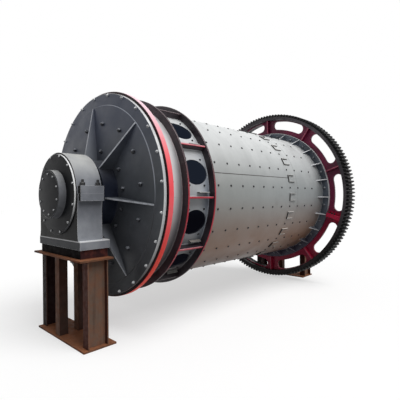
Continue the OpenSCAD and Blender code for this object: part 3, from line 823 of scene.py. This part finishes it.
# %% Near-black port flanges and ribs
def port_black(name, red_from, pale_above):
    """Near-black paint that leaves red primer beyond the radius red_from, pale where it faces up.

    The pale tone on what faces up is partly chalk and partly painted light. Higher than pale_above over
    the axis the primer is covered too, apart from a light line on the corners that is a painted
    highlight, and it is darker at the very bottom.
    """
    f = Finish(name, 0.45)
    f.mottle(seen(34, 28, 34), seen(52, 43, 50), 0.25)
    f.stain(seen(104, 98, 98), 0.4, 0.08, 0.58, 0.78, detail=6, rough=0.7, shift=4.4)
    chipped = f.maths("ADD", f.drum[1], f.times(f.maths("SUBTRACT", f.noise(0.05, 6, 0.65), 0.5), 0.012))
    red = f.blend(f.blots(0.2, 0.35, 0.7, shift=2.2), seen(164, 24, 46), seen(206, 48, 68))
    # Pale where it faces up: partly chalk, partly painted light.
    red = f.blend(f.times(f.step(f.up(), 0.15, 0.8), 0.8), red, seen(244, 190, 198))
    covered = f.times(f.step(f.height, pale_above - 0.5, pale_above), 0.97)
    # Where the primer is covered, a painted highlight on the corners.
    red = f.blend(covered, red, f.blend(f.times(f.worn_edge(), 0.9), seen(50, 42, 47), seen(235, 215, 218)))
    # Darker at the very bottom.
    red = f.blend(f.step(f.height, -0.62, -0.9), red, seen(50, 34, 38))
    f.coat(red, f.step(chipped, red_from - 0.002, red_from + 0.001))
    f.bump(f.noise(0.01), 0.0004)
    return f.done(f.gloss(0.38, 0.58))


port_flange_r = extent("port_flange_front")[2]
flange_black = port_black("flange_black", port_flange_r - 0.003, 0.35)
rib_black = port_black("rib_black", port_flange_r - 0.022, 1.0)
print("port flanges out to", round(port_flange_r, 4))

# %% [markdown]
# ### The ring gear
# The gear is maroon primer on its web and ribs, with a graphite rim and bare dark teeth. The three could
# be three unlike finishes, but they wear in the same way, so one function makes them, and what only one
# of them has is switched on by its argument.

# %% Maroon gear with a graphite rim
GEAR_SPLIT = -17.0
GEAR_ROOT_R = extent("ring_gear_rim_upper")[2] - 0.045


def gear_paint(name, near, far, edge, edges=None, glow=None, bare_from=None):
    """Primer between two tones, with the tone `edge` on chipped edges and `edges` on narrow plate faces.

    `glow` is the fresher tone of the primer below the axis and at the plates where the gear's halves
    join. With `bare_from` the piece is the rim: it darkens towards the floor and is dark bare metal
    beyond that radius.
    """
    f = Finish(name, 0.45, specular=0.12 if bare_from else 0.35)
    _, radius, angle = f.drum
    f.mottle(near, far, 0.5)
    if glow:
        f.fade(glow, 0.6, -0.1, -0.7)
    f.stain(seen(46, 26, 34), 0.5, 0.09, 0.56, 0.78, detail=6, rough=0.7, shift=4.4)
    if edges:
        f.coat(edges, f.narrow(), f.blots(0.05, 0.3, 0.6, 0.4, rough=0.6, shift=6.4))
    if glow:
        half_turn = f.maths("FLOORED_MODULO", f.maths("ADD", angle, 90 - GEAR_SPLIT), 180.0)
        f.coat(seen(206, 18, 70), f.line(half_turn, 90.0, 3.2), 0.85)
    f.chips(edge, 0.6, start=0.3)
    if bare_from:
        f.coat(seen(20, 18, 17), f.step(f.height, 0.3, -1.1, 0.0, 0.8))
        bare = f.blend(f.blots(0.06, 0.35, 0.7, shift=1.1), seen(8, 8, 9), seen(18, 18, 20))
        f.coat(bare, f.step(radius, bare_from - 0.004, bare_from))
    f.bump(f.noise(0.012), 0.0006)
    return f.done(f.gloss(0.34, 0.55, 0.15))


gear_maroon = gear_paint(
    "gear_maroon", seen(84, 11, 46), seen(122, 21, 66), seen(176, 100, 122), glow=seen(168, 14, 56))
gear_rib_maroon = gear_paint(
    "gear_rib_maroon", seen(92, 12, 46), seen(134, 23, 64), seen(190, 130, 146), seen(180, 90, 112),
    glow=seen(196, 16, 62))
gear_rim_black = gear_paint(
    "gear_rim_black", seen(74, 71, 75), seen(104, 99, 104), seen(128, 128, 133), bare_from=GEAR_ROOT_R)
print("gear root radius", round(GEAR_ROOT_R, 4))

# %% [markdown]
# ### Rusty rolled steel
# The stands are bare sections with mill rust: brown-grey where the mill scale still holds and orange on
# edges and on what faces up. Their end faces, the beams on the far side and the near faces of the posts
# between the beams are darkened, down to nearly black, as painted shade. Two sizes of noise make the
# blotches, and thin streaks run down the webs where rain has carried the rust: noise squeezed sideways
# and drawn out in height. A film of rust is too thin to model, so its grain is left to a fine bump.

# %% Rust and packing
def rust(name, scale_tone, brown, orange, shade):
    """Mill scale with brown blotches, orange on edges and upward faces, and streaks down the sides.

    End faces take the tone `shade` as painted shade, most on the outer beams. The beams on the far side,
    y > 0.41, never see the sun and are painted nearly black as painted shade; so are the near faces of
    the posts between the beams.
    """
    f = Finish(name, 0.8, specular=0.2)
    x, y, z = f.split(f.place)
    f.mottle(scale_tone, brown, 0.12, 0.38, 0.64, detail=7, rough=0.65)
    streak_place = f.join(f.times(x, 18.0), f.times(y, 18.0), f.times(z, 1.4))
    f.stain(seen(62, 42, 34), 0.45, 1.0, 0.5, 0.72, rough=0.6, place=streak_place)
    f.stain(orange, 0.3, 0.035, 0.55, 0.72, detail=6, rough=0.7, shift=6.6)
    # Painted shade on the end faces.
    f.coat(shade, f.end_face(), f.step(f.maths("ABSOLUTE", y), 0.36, 0.40, 0.35, 0.88))
    upright = f.step(f.maths("ABSOLUTE", f.up()), 0.6, 0.4)
    # Painted shade: the far beams and the near faces of the posts between the beams.
    f.coat(seen(16, 8, 8), upright, f.step(y, 0.41, 0.44), 0.95)
    f.coat(seen(36, 14, 14), f.step(y, -0.40, -0.36), f.step(f.split(f.normal)[1], -0.6, -0.9), 0.75)
    f.coat(orange, f.step(f.up(), 0.4, 0.9), f.blots(0.09, 0.3, 0.6, 0.55, shift=2.7), 0.75)
    f.coat(orange, f.worn_edge(0.008), 0.5)
    f.bump(f.noise(0.004, 5, 0.7), 0.0005)
    f.bump(f.noise(0.06, 4), 0.0012, 0.6)
    return f.done(f.gloss(0.62, 0.9, 0.05, 5))


def packing_paint():
    """Dull black with a brown cast, rougher and rustier to the sides; its end faces near black as painted
    shade.
    """
    f = Finish("packing_black", 0.7, specular=0.03)
    f.mottle(seen(60, 39, 40), seen(102, 58, 51), 0.08, 0.4, 0.66, detail=6, rough=0.65)
    # Painted shade: the end faces are made nearly black.
    f.coat(seen(8, 7, 7), f.end_face(), 0.985)
    f.bump(f.noise(0.006, 5, 0.7), 0.0006)
    return f.done(f.gloss(0.6, 0.85, 0.05, 5))


stand_rust = rust("stand_rust", seen(110, 91, 79), seen(122, 87, 69), seen(146, 92, 62), seen(57, 20, 14))
plate_rust = rust("plate_rust", seen(104, 75, 59), seen(121, 80, 58), seen(144, 92, 62), seen(108, 60, 38))
packing_black = packing_paint()
print("rust and packing", 3)

# %% [markdown]
# ### Steel of the fasteners
# Bolts are bare or blackened steel, dull and stained. Their corners carry a painted highlight, and
# some have a painted highlight on top as well. A fully metallic shader would mirror the white surround,
# and old bolts don't, so they are metallic only in part.

# %% Steel for fasteners
def bolt_steel(name, bright, dull, roughness, metallic=0.0, top_glint=None):
    """Steel between two tones, with a painted highlight on its corners and, given a last tone, on top."""
    f = Finish(name, roughness, metallic)
    f.mottle(dull, bright, 0.02, rough=0.65)
    # A painted highlight on what faces up.
    if top_glint:
        f.coat(top_glint, f.step(f.up(), 0.1, 0.6))
    # A painted highlight on the corners.
    f.coat(bright, f.worn_edge(0.002), 0.5)
    f.bump(f.noise(0.003, 4), 0.0002)
    return f.done(f.gloss(roughness - 0.12, roughness + 0.15, 0.03))


dark_bolt_steel = bolt_steel("dark_bolt_steel", seen(34, 34, 37), seen(12, 12, 13), roughness=0.5)
bright_bolt_steel = bolt_steel(
    "bright_bolt_steel", seen(206, 208, 211), seen(130, 132, 136),
    roughness=0.35, metallic=0.1, top_glint=seen(252, 253, 254))
cover_bolt_steel = bolt_steel(
    "cover_bolt_steel", seen(66, 69, 76), seen(32, 33, 37),
    roughness=0.4, metallic=0.2, top_glint=seen(150, 154, 162))
grey_bolt_steel = bolt_steel(
    "grey_bolt_steel", seen(120, 123, 130), seen(64, 67, 74),
    roughness=0.4, metallic=0.3, top_glint=seen(176, 179, 184))
print("steels", 4)

# %% [markdown]
# ## End covers and trunnions
# Each end cover is one turned casting: a flange, a slightly narrower joint face against the shell, a
# spigot that sits in the bore and a low raised disc. It could be built up from cylinders, but then their
# joints would have to be cut away again. Instead its section is drawn as an outline in x and radius,
# with its corners eased a little, and turned about the axis as on a lathe. The trunnion's hub and
# journal are turned the same way, with a flare where the hub meets the cover.

# %% Covers, ribs and trunnions
COVER_T, JOINT_FACE_T, SPIGOT_T = 0.034, 0.006, 0.037
JOINT_FACE_R, SPIGOT_R = SHELL_R + 0.070, BORE_R - 0.0008
RAISED_SLOPE = 0.006
HUB_R, JOURNAL_R, HUB_LENGTH = 0.400, 0.250, 0.190
HUB_FLARE, JOURNAL_FLARE = 0.010, 0.020
hub_u = -extent("front_trunnion")[0]
joint_u = -COVER_T - JOINT_FACE_T
spigot_u = joint_u - SPIGOT_T


def end_section(end, section):
    """The outline of (u, radius) pairs at one end, as (x, radius)."""
    return [(at_end(end, u), r) for u, r in section]


for end, side in enumerate(END_NAMES):
    turned_piece(side + "_cover_casting", side + "_end_cover", end_section(end, [
        (spigot_u, 0.0), (spigot_u, SPIGOT_R), (joint_u, SPIGOT_R), (joint_u, JOINT_FACE_R),
        (-COVER_T, JOINT_FACE_R), (-COVER_T, cover_r), (0.0, cover_r), (0.0, RAISED_R + RAISED_SLOPE),
        (RAISED, RAISED_R), (RAISED, 0.0),
    ]), 0.003, "drum", "cover_charcoal", cover_charcoal)
    turned_piece(side + "_trunnion_turned", side + "_trunnion", end_section(end, [
        (RAISED, 0.0), (RAISED, HUB_R + HUB_FLARE), (RAISED + HUB_FLARE, HUB_R), (HUB_LENGTH, HUB_R),
        (HUB_LENGTH, JOURNAL_R + JOURNAL_FLARE), (HUB_LENGTH + JOURNAL_FLARE, JOURNAL_R),
        (hub_u, JOURNAL_R), (hub_u, 0.0),
    ]), 0.006, "drum", "trunnion_steel", trunnion_shade_dark)
    dressed(side + "_cover_ribs", "drum", cover_rib_charcoal, 0.004)
print("covers out to", round(cover_r, 4), "trunnion reaches", round(hub_u, 4))

# %% [markdown]
# ## Flanges around the drum
# A flange is a flat ring, burnt from plate and turned on its rim, so its outline is a rectangle in x and
# radius. The red one, the two at the ports and the one that carries the gear differ only in their place,
# height and paint. Their solids could be copied, but a turned ring has finer steps and rounds better.

# %% Flange rings
for node, slot, finish in (
    ("discharge_end_flange", "red_flange", red_flange),
    ("port_flange_front", "port_flange_black", flange_black),
    ("port_flange_rear", "port_flange_black", flange_black),
    ("gear_flange", "flange_slate", flange_slate),
):
    x0, x1, outer = extent(node)
    section = [(x0, SHELL_R), (x0, outer), (x1, outer), (x1, SHELL_R)]
    turned_piece(node + "_ring", node, section, 0.003, "drum", slot, finish)
    print(node, "x", round(x0, 3), "to", round(x1, 3), "radius", round(outer, 3))

# %% [markdown]
# ## Main shell
# The shell is rolled from plates that meet in lengthwise seams. It could be one tube, but the part has
# four plates, and each is to be replaced by a piece of its own. So each quarter is a thin outline in x
# and radius, turned through 90 degrees. Its steps are small, because this is the largest smooth surface
# and its outline would show every corner.

# %% Shell plates
QUARTERS = ("upper_near", "upper_far", "lower_far", "lower_near")
shell_x0, shell_x1, _ = extent("shell_plate_upper_near")
section = [(shell_x0, BORE_R), (shell_x0, SHELL_R), (shell_x1, SHELL_R), (shell_x1, BORE_R)]
for quarter, where in enumerate(QUARTERS):
    start = SHELL_SEAM + quarter * 90
    turned_piece("shell_" + where, "shell_plate_" + where, section, 0.002, "drum", "shell_grey", shell_grey,
                 start, start + 90, 1.5)
print("shell from", round(shell_x0, 3), "to", round(shell_x1, 3))

# %% [markdown]
# ## Ported end of the shell
# Between the two port flanges the shell has a ring of oval ports, through which ground ore runs out. A
# Boolean could cut them, but it leaves long thin faces that shade badly on a curve. So one bay is a
# patch whose inner edge is the oval and whose outer edge is the bay's rectangle, with rows of points
# blended between them. Three bays, a wall round each port and the plate's edges make one quarter.

# %% Ported shell
PORT_COUNT, PORT_ANGLE = 12, 12.5
PORT_LENGTH, PORT_WIDTH, PORT_X = 0.366, 0.284, 0.5515
BAY, BAYS_IN_QUARTER = 360 / PORT_COUNT, PORT_COUNT // 4
port_x0, port_x1, _ = extent("port_shell_upper_near")
OVAL_SIDES, PATCH_ROWS = 64, 9


def bay_patch(centre, radius):
    """Rows of points from a port's oval (row 0) to its bay's rectangle (last row), on one radius.

    The oval is (PORT_X + L/2 cos t, W/2 sin t), its width taken straight across the drum, so its angle
    is asin(w / radius). The rectangle's point is where the same direction t meets its sides, with the
    four corners put in exactly.
    """
    t = (np.arange(OVAL_SIDES) + 0.5) * 2 * np.pi / OVAL_SIDES
    oval_x = PORT_X + PORT_LENGTH / 2 * np.cos(t)
    oval_a = np.degrees(np.arcsin(PORT_WIDTH / 2 * np.sin(t) / radius))
    reach = 1 / np.maximum(np.abs(np.cos(t)), np.abs(np.sin(t)))
    square_x, square_a = np.cos(t) * reach, np.sin(t) * reach
    eighth = OVAL_SIDES // 8
    for corner, (sx, sa) in enumerate(((1, 1), (-1, 1), (-1, -1), (1, -1))):
        k = eighth + corner * 2 * eighth
        square_x[k - 1], square_a[k - 1] = sx, sa
    box_x = PORT_X + square_x * np.where(square_x > 0, port_x1 - PORT_X, PORT_X - port_x0)
    box_a = square_a * BAY / 2
    share = (np.linspace(0, 1, PATCH_ROWS) ** 1.2)[:, None]
    x = oval_x + share * (box_x - oval_x)
    a = centre + oval_a + share * (box_a - oval_a)
    return on_drum(x, radius, a)


def port_quarter(quarter):
    """The outer and inner skins of three bays, the wall of each port and the plate's own edges.

    The points of a bay are its outer patch and then its inner one, so a face of the inner skin is the
    outer one's plus a patch's size. Edge faces between two neighbouring bays are left out.
    """
    skin = grid_faces(PATCH_ROWS, OVAL_SIDES, False, True)
    size, last = PATCH_ROWS * OVAL_SIDES, (PATCH_ROWS - 1) * OVAL_SIDES
    ring = np.arange(OVAL_SIDES)
    following = (ring + 1) % OVAL_SIDES
    wall = np.stack([ring, following, following + size, ring + size], axis=1)
    edge = last + np.stack([ring, ring + size, following + size, following], axis=1)
    bays = []
    for bay in range(BAYS_IN_QUARTER):
        centre = PORT_ANGLE + (quarter * BAYS_IN_QUARTER + bay) * BAY
        outer, inner = bay_patch(centre, SHELL_R), bay_patch(centre, BORE_R)
        rim = outer[-1]
        angle = np.degrees(np.arctan2(rim[:, 2] - axis_z, -rim[:, 1])) - centre
        angle = (angle + 180) % 360 - 180
        at_start, at_stop = angle < -BAY / 2 + 0.01, angle > BAY / 2 - 0.01
        at_start, at_stop = at_start & at_start[following], at_stop & at_stop[following]
        keep = ~at_start & ~at_stop | at_start & (bay == 0) | at_stop & (bay == BAYS_IN_QUARTER - 1)
        bays.append((np.concatenate([outer, inner]).reshape(-1, 3),
                     np.concatenate([skin, skin[:, ::-1] + size, wall, edge[keep]]).tolist()))
    return joined(bays)


for quarter, where in enumerate(QUARTERS):
    points, faces = port_quarter(quarter)
    plate = make_piece(
        "ported_shell_" + where, points, faces, "drum", "shell_grey", port_zone_grey, sharp=40.0)
    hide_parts("port_shell_" + where)
print("ports", PORT_COUNT, "from x", round(port_x0, 3), "to", round(port_x1, 3))

# %% [markdown]
# ## Ribs, bars, clips, gussets and the ring gear
# These are flat plates and cut teeth. Their solids already have the right shape, so each is taken over
# as a merged copy whose edges are eased by a real bevel, which catches the light as a sawn or flame-cut
# edge does.

# %% Plates on the drum, and the gear
for node, slot, finish, bevel in (
    ("port_ribs", "port_flange_black", rib_black, 0.003),
    ("port_bars", "shell_grey", bar_grey, 0.002),
    ("shell_clips", "shell_grey", clip_grey, 0.0015),
    ("gear_flange_gussets", "flange_slate", gusset_slate, 0.002),
    ("ring_gear_web_upper", "gear_maroon", gear_maroon, 0.004),
    ("ring_gear_web_lower", "gear_maroon", gear_maroon, 0.004),
    ("ring_gear_ribs_upper", "gear_maroon", gear_rib_maroon, 0.003),
    ("ring_gear_ribs_lower", "gear_maroon", gear_rib_maroon, 0.003),
    ("ring_gear_rim_upper", "gear_rim_black", gear_rim_black, 0.002),
    ("ring_gear_rim_lower", "gear_rim_black", gear_rim_black, 0.002),
):
    piece = dressed(node, "drum", finish, bevel)
    print(node, "faces", len(piece.data.polygons))

# %% [markdown]
# ## Bearings and stands
# The housings, caps, packing, plates, beams and posts are castings and rolled sections whose solids are
# right, so they are dressed copies too. The round end plate of a bearing is turned: a plate with an
# eased rim, then the boss, which has a step cut around its face.

# %% Bearings and stands
END_PLATE_T, BOSS_R, BOSS_FACE_R, BOSS_STEP = 0.020, 0.258, 0.241, 0.008
for end, side in enumerate(END_NAMES):
    for node, slot, finish, bevel in (
        ("bearing_housing", "bearing_grey", bearing_grey, 0.005),
        ("bearing_cap", "bearing_grey", bearing_grey, 0.006),
        ("packing_block", "packing", packing_black, 0.003),
        ("top_plate", "stand_steel", plate_rust, 0.002),
        ("base_plate", "stand_steel", plate_rust, 0.002),
        ("end_beams", "stand_steel", stand_rust, 0.002),
        ("middle_posts", "stand_steel", stand_rust, 0.004),
    ):
        dressed(side + "_" + node, "stands", finish, bevel)
    low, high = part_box(side + "_bearing_end_plate")
    inner_u, outer_u = (low.x + face_x, high.x + face_x) if end else (face_x - high.x, face_x - low.x)
    plate_u = inner_u + END_PLATE_T
    turned_piece(side + "_bearing_cover", side + "_bearing_end_plate", end_section(end, [
        (inner_u, 0.0), (inner_u, END_PLATE_R), (plate_u, END_PLATE_R), (plate_u, BOSS_R), (outer_u, BOSS_R),
        (outer_u, BOSS_FACE_R + BOSS_STEP), (outer_u - BOSS_STEP, BOSS_FACE_R + BOSS_STEP),
        (outer_u - BOSS_STEP, BOSS_FACE_R), (outer_u, BOSS_FACE_R), (outer_u, 0.0),
    ]), 0.004, "stands", "bearing_end_plate", bearing_plate_grey)
print("bearing reaches", round(outer_u, 4), "past the cover's face")

# %% [markdown]
# ## Bolts and studs
# A mill is held together by hundreds of bolts. One nut is a short stack of rings: a washer, a six-sided
# nut with its corners turned off, and the end of the bolt. Each could be an object of its own, but a
# whole ring of bolts is easier to handle as one piece. So the stack is copied to every place at once by
# turning its points into each place's own axes, as arrays, and has only a few dozen faces.

# %% Nuts and how they are copied
rng = np.random.default_rng(7)
SUNK = 0.003


def prism(sides, rings):
    """A closed stack of rings (radius, height), each with the same number of sides, along +Z."""
    t = (np.arange(sides) + 0.5) * 2 * np.pi / sides
    radius, height = (np.array(v)[:, None] for v in zip(*rings))
    points = np.stack(np.broadcast_arrays(radius * np.cos(t), radius * np.sin(t), height), axis=-1)
    faces = grid_faces(len(rings), sides, False, True).tolist()
    faces += [list(range(sides)), list(range(len(rings) * sides - sides, len(rings) * sides))]
    return points.reshape(-1, 3), faces


def nut(across, height, stud=0.0, washer=True):
    """A washer, a nut `across` its flats and a stud standing out by `stud`, sunk a little into z = 0.

    The hexagon's corner radius is across / 2 / cos 30, a washer's radius 0.62 and a stud's 0.31 across.
    """
    corner, washer_r, stud_r = across / 2 / math.cos(math.radians(30)), across * 0.62, across * 0.31
    parts = [prism(6, [(corner, -SUNK), (corner, height * 0.82), (across * 0.47, height)])]
    if washer:
        parts.append(prism(12, [(washer_r, -SUNK), (washer_r, across * 0.09)]))
    if stud:
        parts.append(prism(8, [(stud_r, 0.0), (stud_r, height + stud - SUNK), (stud_r * 0.8, height + stud)]))
    return joined(parts)


def fasten(name, shape, places, outward, body, slot, finish):
    """Copies a shape to every place, its +Z along outward and its turn about that left to chance."""
    points, faces = shape
    places = np.asarray(places, float).reshape(-1, 3)
    w = np.broadcast_to(np.asarray(outward, float), places.shape)
    w = w / np.linalg.norm(w, axis=1, keepdims=True)
    helper = np.where(np.abs(w[:, :1]) > 0.9, [[0.0, 1.0, 0.0]], [[1.0, 0.0, 0.0]])
    u = np.cross(helper, w)
    u /= np.linalg.norm(u, axis=1, keepdims=True)
    v = np.cross(w, u)
    spin = rng.uniform(0, 2 * np.pi, len(places))[:, None]
    u, v = np.cos(spin) * u + np.sin(spin) * v, np.cos(spin) * v - np.sin(spin) * u
    copies = points @ np.stack([u, v, w], axis=1) + places[:, None]
    points, faces = joined((copy, faces) for copy in copies)
    print(name, len(places), "places,", len(faces), "faces")
    return make_piece(name, points, faces, body, slot, finish, 30.0)


print("a nut with washer and stud has", len(nut(0.027, 0.016, 0.008)[1]), "faces")

# %% [markdown]
# ### Bolts on the covers and flanges
# The rims of the covers and the flanges they bolt to share one pattern of 24. The liners behind a cover
# are held by two rings of bolts, two between each pair of ribs.

# %% Bolts on the covers and flanges
EVERY_15 = 15 * np.arange(24)
RIM_BOLTS, RIM_BOLT_R, STUD_R, GEAR_FLANGE_BOLT_R = 5.3 + EVERY_15, 1.150, 1.144, 1.111
COVER_RIBS = -6.6 + 360 / 7 * np.arange(7)
COVER_LINER = np.concatenate([COVER_RIBS + 12.86, COVER_RIBS + 38.57])
OUTWARD = ((-1, 0, 0), (1, 0, 0))
for end, side in enumerate(END_NAMES):
    fasten(side + "_rim_bolts", nut(0.027, 0.016, 0.008), on_drum(at_end(end, 0.0), RIM_BOLT_R, RIM_BOLTS),
           OUTWARD[end], "drum", "cover_charcoal", bright_bolt_steel)
    for ring_name, radius in (("outer", 0.824), ("inner", 0.503)):
        fasten(side + "_liner_bolts_" + ring_name, nut(0.040, 0.026, 0.008),
               on_drum(at_end(end, RAISED), radius, COVER_LINER), OUTWARD[end],
               "drum", "cover_charcoal", cover_bolt_steel)
red_back, flange_face = extent("discharge_end_flange")[1], extent("gear_flange")[0]
fasten("red_flange_studs", nut(0.032, 0.022, 0.024), on_drum(red_back, STUD_R, RIM_BOLTS),
       OUTWARD[1], "drum", "red_flange", dark_bolt_steel)
fasten("gear_flange_bolts", nut(0.036, 0.022, 0.010), on_drum(flange_face, GEAR_FLANGE_BOLT_R, RIM_BOLTS),
       OUTWARD[0], "drum", "flange_slate", grey_bolt_steel)

# %% [markdown]
# ### Bolts through the shell
# Low bolt heads in 24 rows along the drum hold the shell's liners. Four bolts sit round each port.

# %% Bolts through the shell
LINER_ROWS, LINER_X = 5 + EVERY_15, 0.914 + 0.2352 * np.arange(11)
PORT_BOLT_X, PORT_BOLT_ANGLE = (0.440, 0.672), 8.0
bolt_x, bolt_a = grid(LINER_X, LINER_ROWS)
fasten("shell_liner_bolts", nut(0.024, 0.008, 0.003, False), on_drum(bolt_x, SHELL_R, bolt_a),
       radial(bolt_x, bolt_a), "drum", "shell_grey", dark_bolt_steel)
port_angles, bolt_x, off_port = grid(
    PORT_ANGLE + BAY * np.arange(PORT_COUNT), PORT_BOLT_X, (-PORT_BOLT_ANGLE, PORT_BOLT_ANGLE))
bolt_a = port_angles + off_port
fasten("port_bolts", nut(0.020, 0.010, 0.004), on_drum(bolt_x, SHELL_R, bolt_a),
       radial(bolt_x, bolt_a), "drum", "shell_grey", dark_bolt_steel)

# %% [markdown]
# ### Bolts on the bearings and the split gear
# A bearing's end plate has twelve small bolts and its boss ten. Studs on the housing's ears hold the cap
# down. The gear's halves are pulled together by bolts through the plates at their joint, so these point
# along the turn, with a nut on each side.

# %% Bolts on the bearings and the split gear
TWELVE, END_PLATE_BOLT_R = 15 + 30 * np.arange(12), 0.412
TEN, BOSS_BOLT_R = 21 + 36 * np.arange(10), 0.213
EAR_TOP, EAR_U, EAR_Y = axis_z + 0.080, (0.292, 0.462), 0.463
for end, side in enumerate(END_NAMES):
    for group, shape, u, radius, angles in (
        ("_end_plate_bolts", nut(0.020, 0.010, washer=False), plate_u, END_PLATE_BOLT_R, TWELVE),
        ("_boss_bolts", nut(0.017, 0.008, washer=False), outer_u, BOSS_BOLT_R, TEN),
    ):
        fasten(side + group, shape, on_drum(at_end(end, u), radius, angles),
               OUTWARD[end], "stands", "bearing_end_plate", bright_bolt_steel)
    ears = [(face_x + at_end(end, u), y, EAR_TOP) for u in EAR_U for y in (-EAR_Y, EAR_Y)]
    fasten(side + "_ear_studs", nut(0.044, 0.034, 0.030), ears, (0, 0, 1),
           "stands", "bearing_grey", dark_bolt_steel)

JOINT_PLATE_T, RIM_STEP, JOINT_BOLT_R = 0.034, 0.010, (1.225, 1.272, 1.319)
web_x0, web_x1, _ = extent("ring_gear_web_upper")
rim_x0, rim_x1, _ = extent("ring_gear_rim_upper")
plate_x = ((rim_x0 + RIM_STEP + web_x0) / 2, (web_x1 + rim_x1 - RIM_STEP) / 2)
bolt_x, bolt_r, split = grid(plate_x, JOINT_BOLT_R, (GEAR_SPLIT, GEAR_SPLIT + 180))
for turn, side in ((-1, "lower"), (1, "upper")):
    along = turn * tangent(bolt_x, split)
    fasten("gear_joint_bolts_" + side, nut(0.026, 0.018, 0.008),
           on_drum(bolt_x, bolt_r, split) + JOINT_PLATE_T * along, along,
           "drum", "gear_maroon", dark_bolt_steel)

# %% [markdown]
# ## Weld beads
# Ribs, flanges and gussets are welded to the shell, and a hand-laid bead in each corner is what makes
# plate look joined. A curve with a round bevel could lie in the corner, but it would be a wire, evenly
# thick. So a bead is a small rounded section carried along the corner's line, and its size wavers from
# one step to the next, as it does when a welder stops and goes on.

# %% Weld beads along corners
WELD_STEP, WELD_ROOT = 0.010, 0.001


def corner_line(start, stop):
    """Points from start to stop, a weld step apart."""
    count = max(2, round(float(np.linalg.norm(stop - start)) / WELD_STEP) + 1)
    return start + np.linspace(0, 1, count)[:, None] * (stop - start)


def weld(name, lines, leg, slot, finish):
    """Fillet beads. lines holds (path, wall, ground): the corner's points and its two faces' directions.

    At each point P the section is P + s (1 - 0.2 sin 2t)(cos t ground + sin t wall), t from 0 to 90
    degrees, and a root point just inside the corner. The size s is the leg with a random eighth on it.
    """
    t = np.radians([0, 30, 60, 90])
    bulge = 1 - 0.2 * np.sin(2 * t)
    along_ground, along_wall = ((v * bulge)[None, :, None] for v in (np.cos(t), np.sin(t)))
    sides = len(t) + 1
    beads = []
    for path, wall, ground in lines:
        closed = np.allclose(path[0], path[-1], atol=1e-6)
        wall, ground = np.broadcast_to(wall, path.shape), np.broadcast_to(ground, path.shape)
        if closed:
            path, wall, ground = path[:-1], wall[:-1], ground[:-1]
        size = leg * (1 + 0.12 * rng.standard_normal(len(path)).clip(-1.6, 1.6))[:, None, None]
        arc = along_ground * ground[:, None] + along_wall * wall[:, None]
        root = path[:, None] - WELD_ROOT * (wall + ground)[:, None]
        section = np.concatenate([root, path[:, None] + size * arc], axis=1)
        faces = grid_faces(len(path), sides, closed, True).tolist()
        if not closed:
            first = np.arange(sides)
            faces += [first[::-1].tolist(), (first + (len(path) - 1) * sides).tolist()]
        beads.append((section.reshape(-1, 3), faces))
    points, faces = joined(beads)
    print(name, len(lines), "beads,", len(faces), "faces")
    return make_piece(name, points, faces, "drum", slot, finish, 50.0)


def ring_line(x, way):
    """A closed corner line round the drum where a flange's face meets the shell; way is its side along x."""
    angles = np.linspace(0, 360, round(2 * math.pi * SHELL_R / WELD_STEP) + 1)
    return on_drum(x, SHELL_R, angles), radial(x, angles), np.array([way, 0.0, 0.0])


def plate_lines(x0, x1, angles, half):
    """The two corner lines of each plate along the shell from x0 to x1; half is half its thickness."""
    lines = []
    for angle in angles:
        for way in (-1, 1):
            out = way * tangent(0.0, angle)
            start, stop = (on_drum(x, SHELL_R, angle) + half * out for x in (x0, x1))
            lines.append((corner_line(start, stop), radial(0.0, angle), out))
    return lines


print("a bead round the shell has", len(ring_line(0.0, 1)[0]) - 1, "steps")

# %% [markdown]
# ### Welds on the drum
# Every flange has a bead round the shell on the side that shows, and every rib and gusset one on each
# side. The beads stop a little short of the corners.

# %% Weld the drum
PORT_RIBS, PORT_RIB_HALF = PORT_ANGLE - BAY / 2 + BAY * np.arange(PORT_COUNT), 0.010
RIB_WELD_X = (port_x0 + 0.310, port_x1 - 0.021)
GUSSETS, GUSSET_LENGTH, GUSSET_HALF = -2.5 + EVERY_15, 0.182, 0.008
GUSSET_WELD_X = (flange_face - GUSSET_LENGTH + 0.010, flange_face - 0.006)
flange_x = [red_back, *extent("port_flange_front")[:2], *extent("port_flange_rear")[:2]]
weld("port_flange_welds", [ring_line(x, way) for x, way in zip(flange_x, (1, -1, 1, -1, 1))],
     0.008, "shell_grey", port_zone_grey)
weld("port_rib_welds", plate_lines(*RIB_WELD_X, PORT_RIBS, PORT_RIB_HALF),
     0.007, "shell_grey", port_zone_grey)
weld("gear_flange_welds",
     [ring_line(flange_face, -1), *plate_lines(*GUSSET_WELD_X, GUSSETS, GUSSET_HALF)],
     0.007, "flange_slate", flange_slate)
print("drum welded")
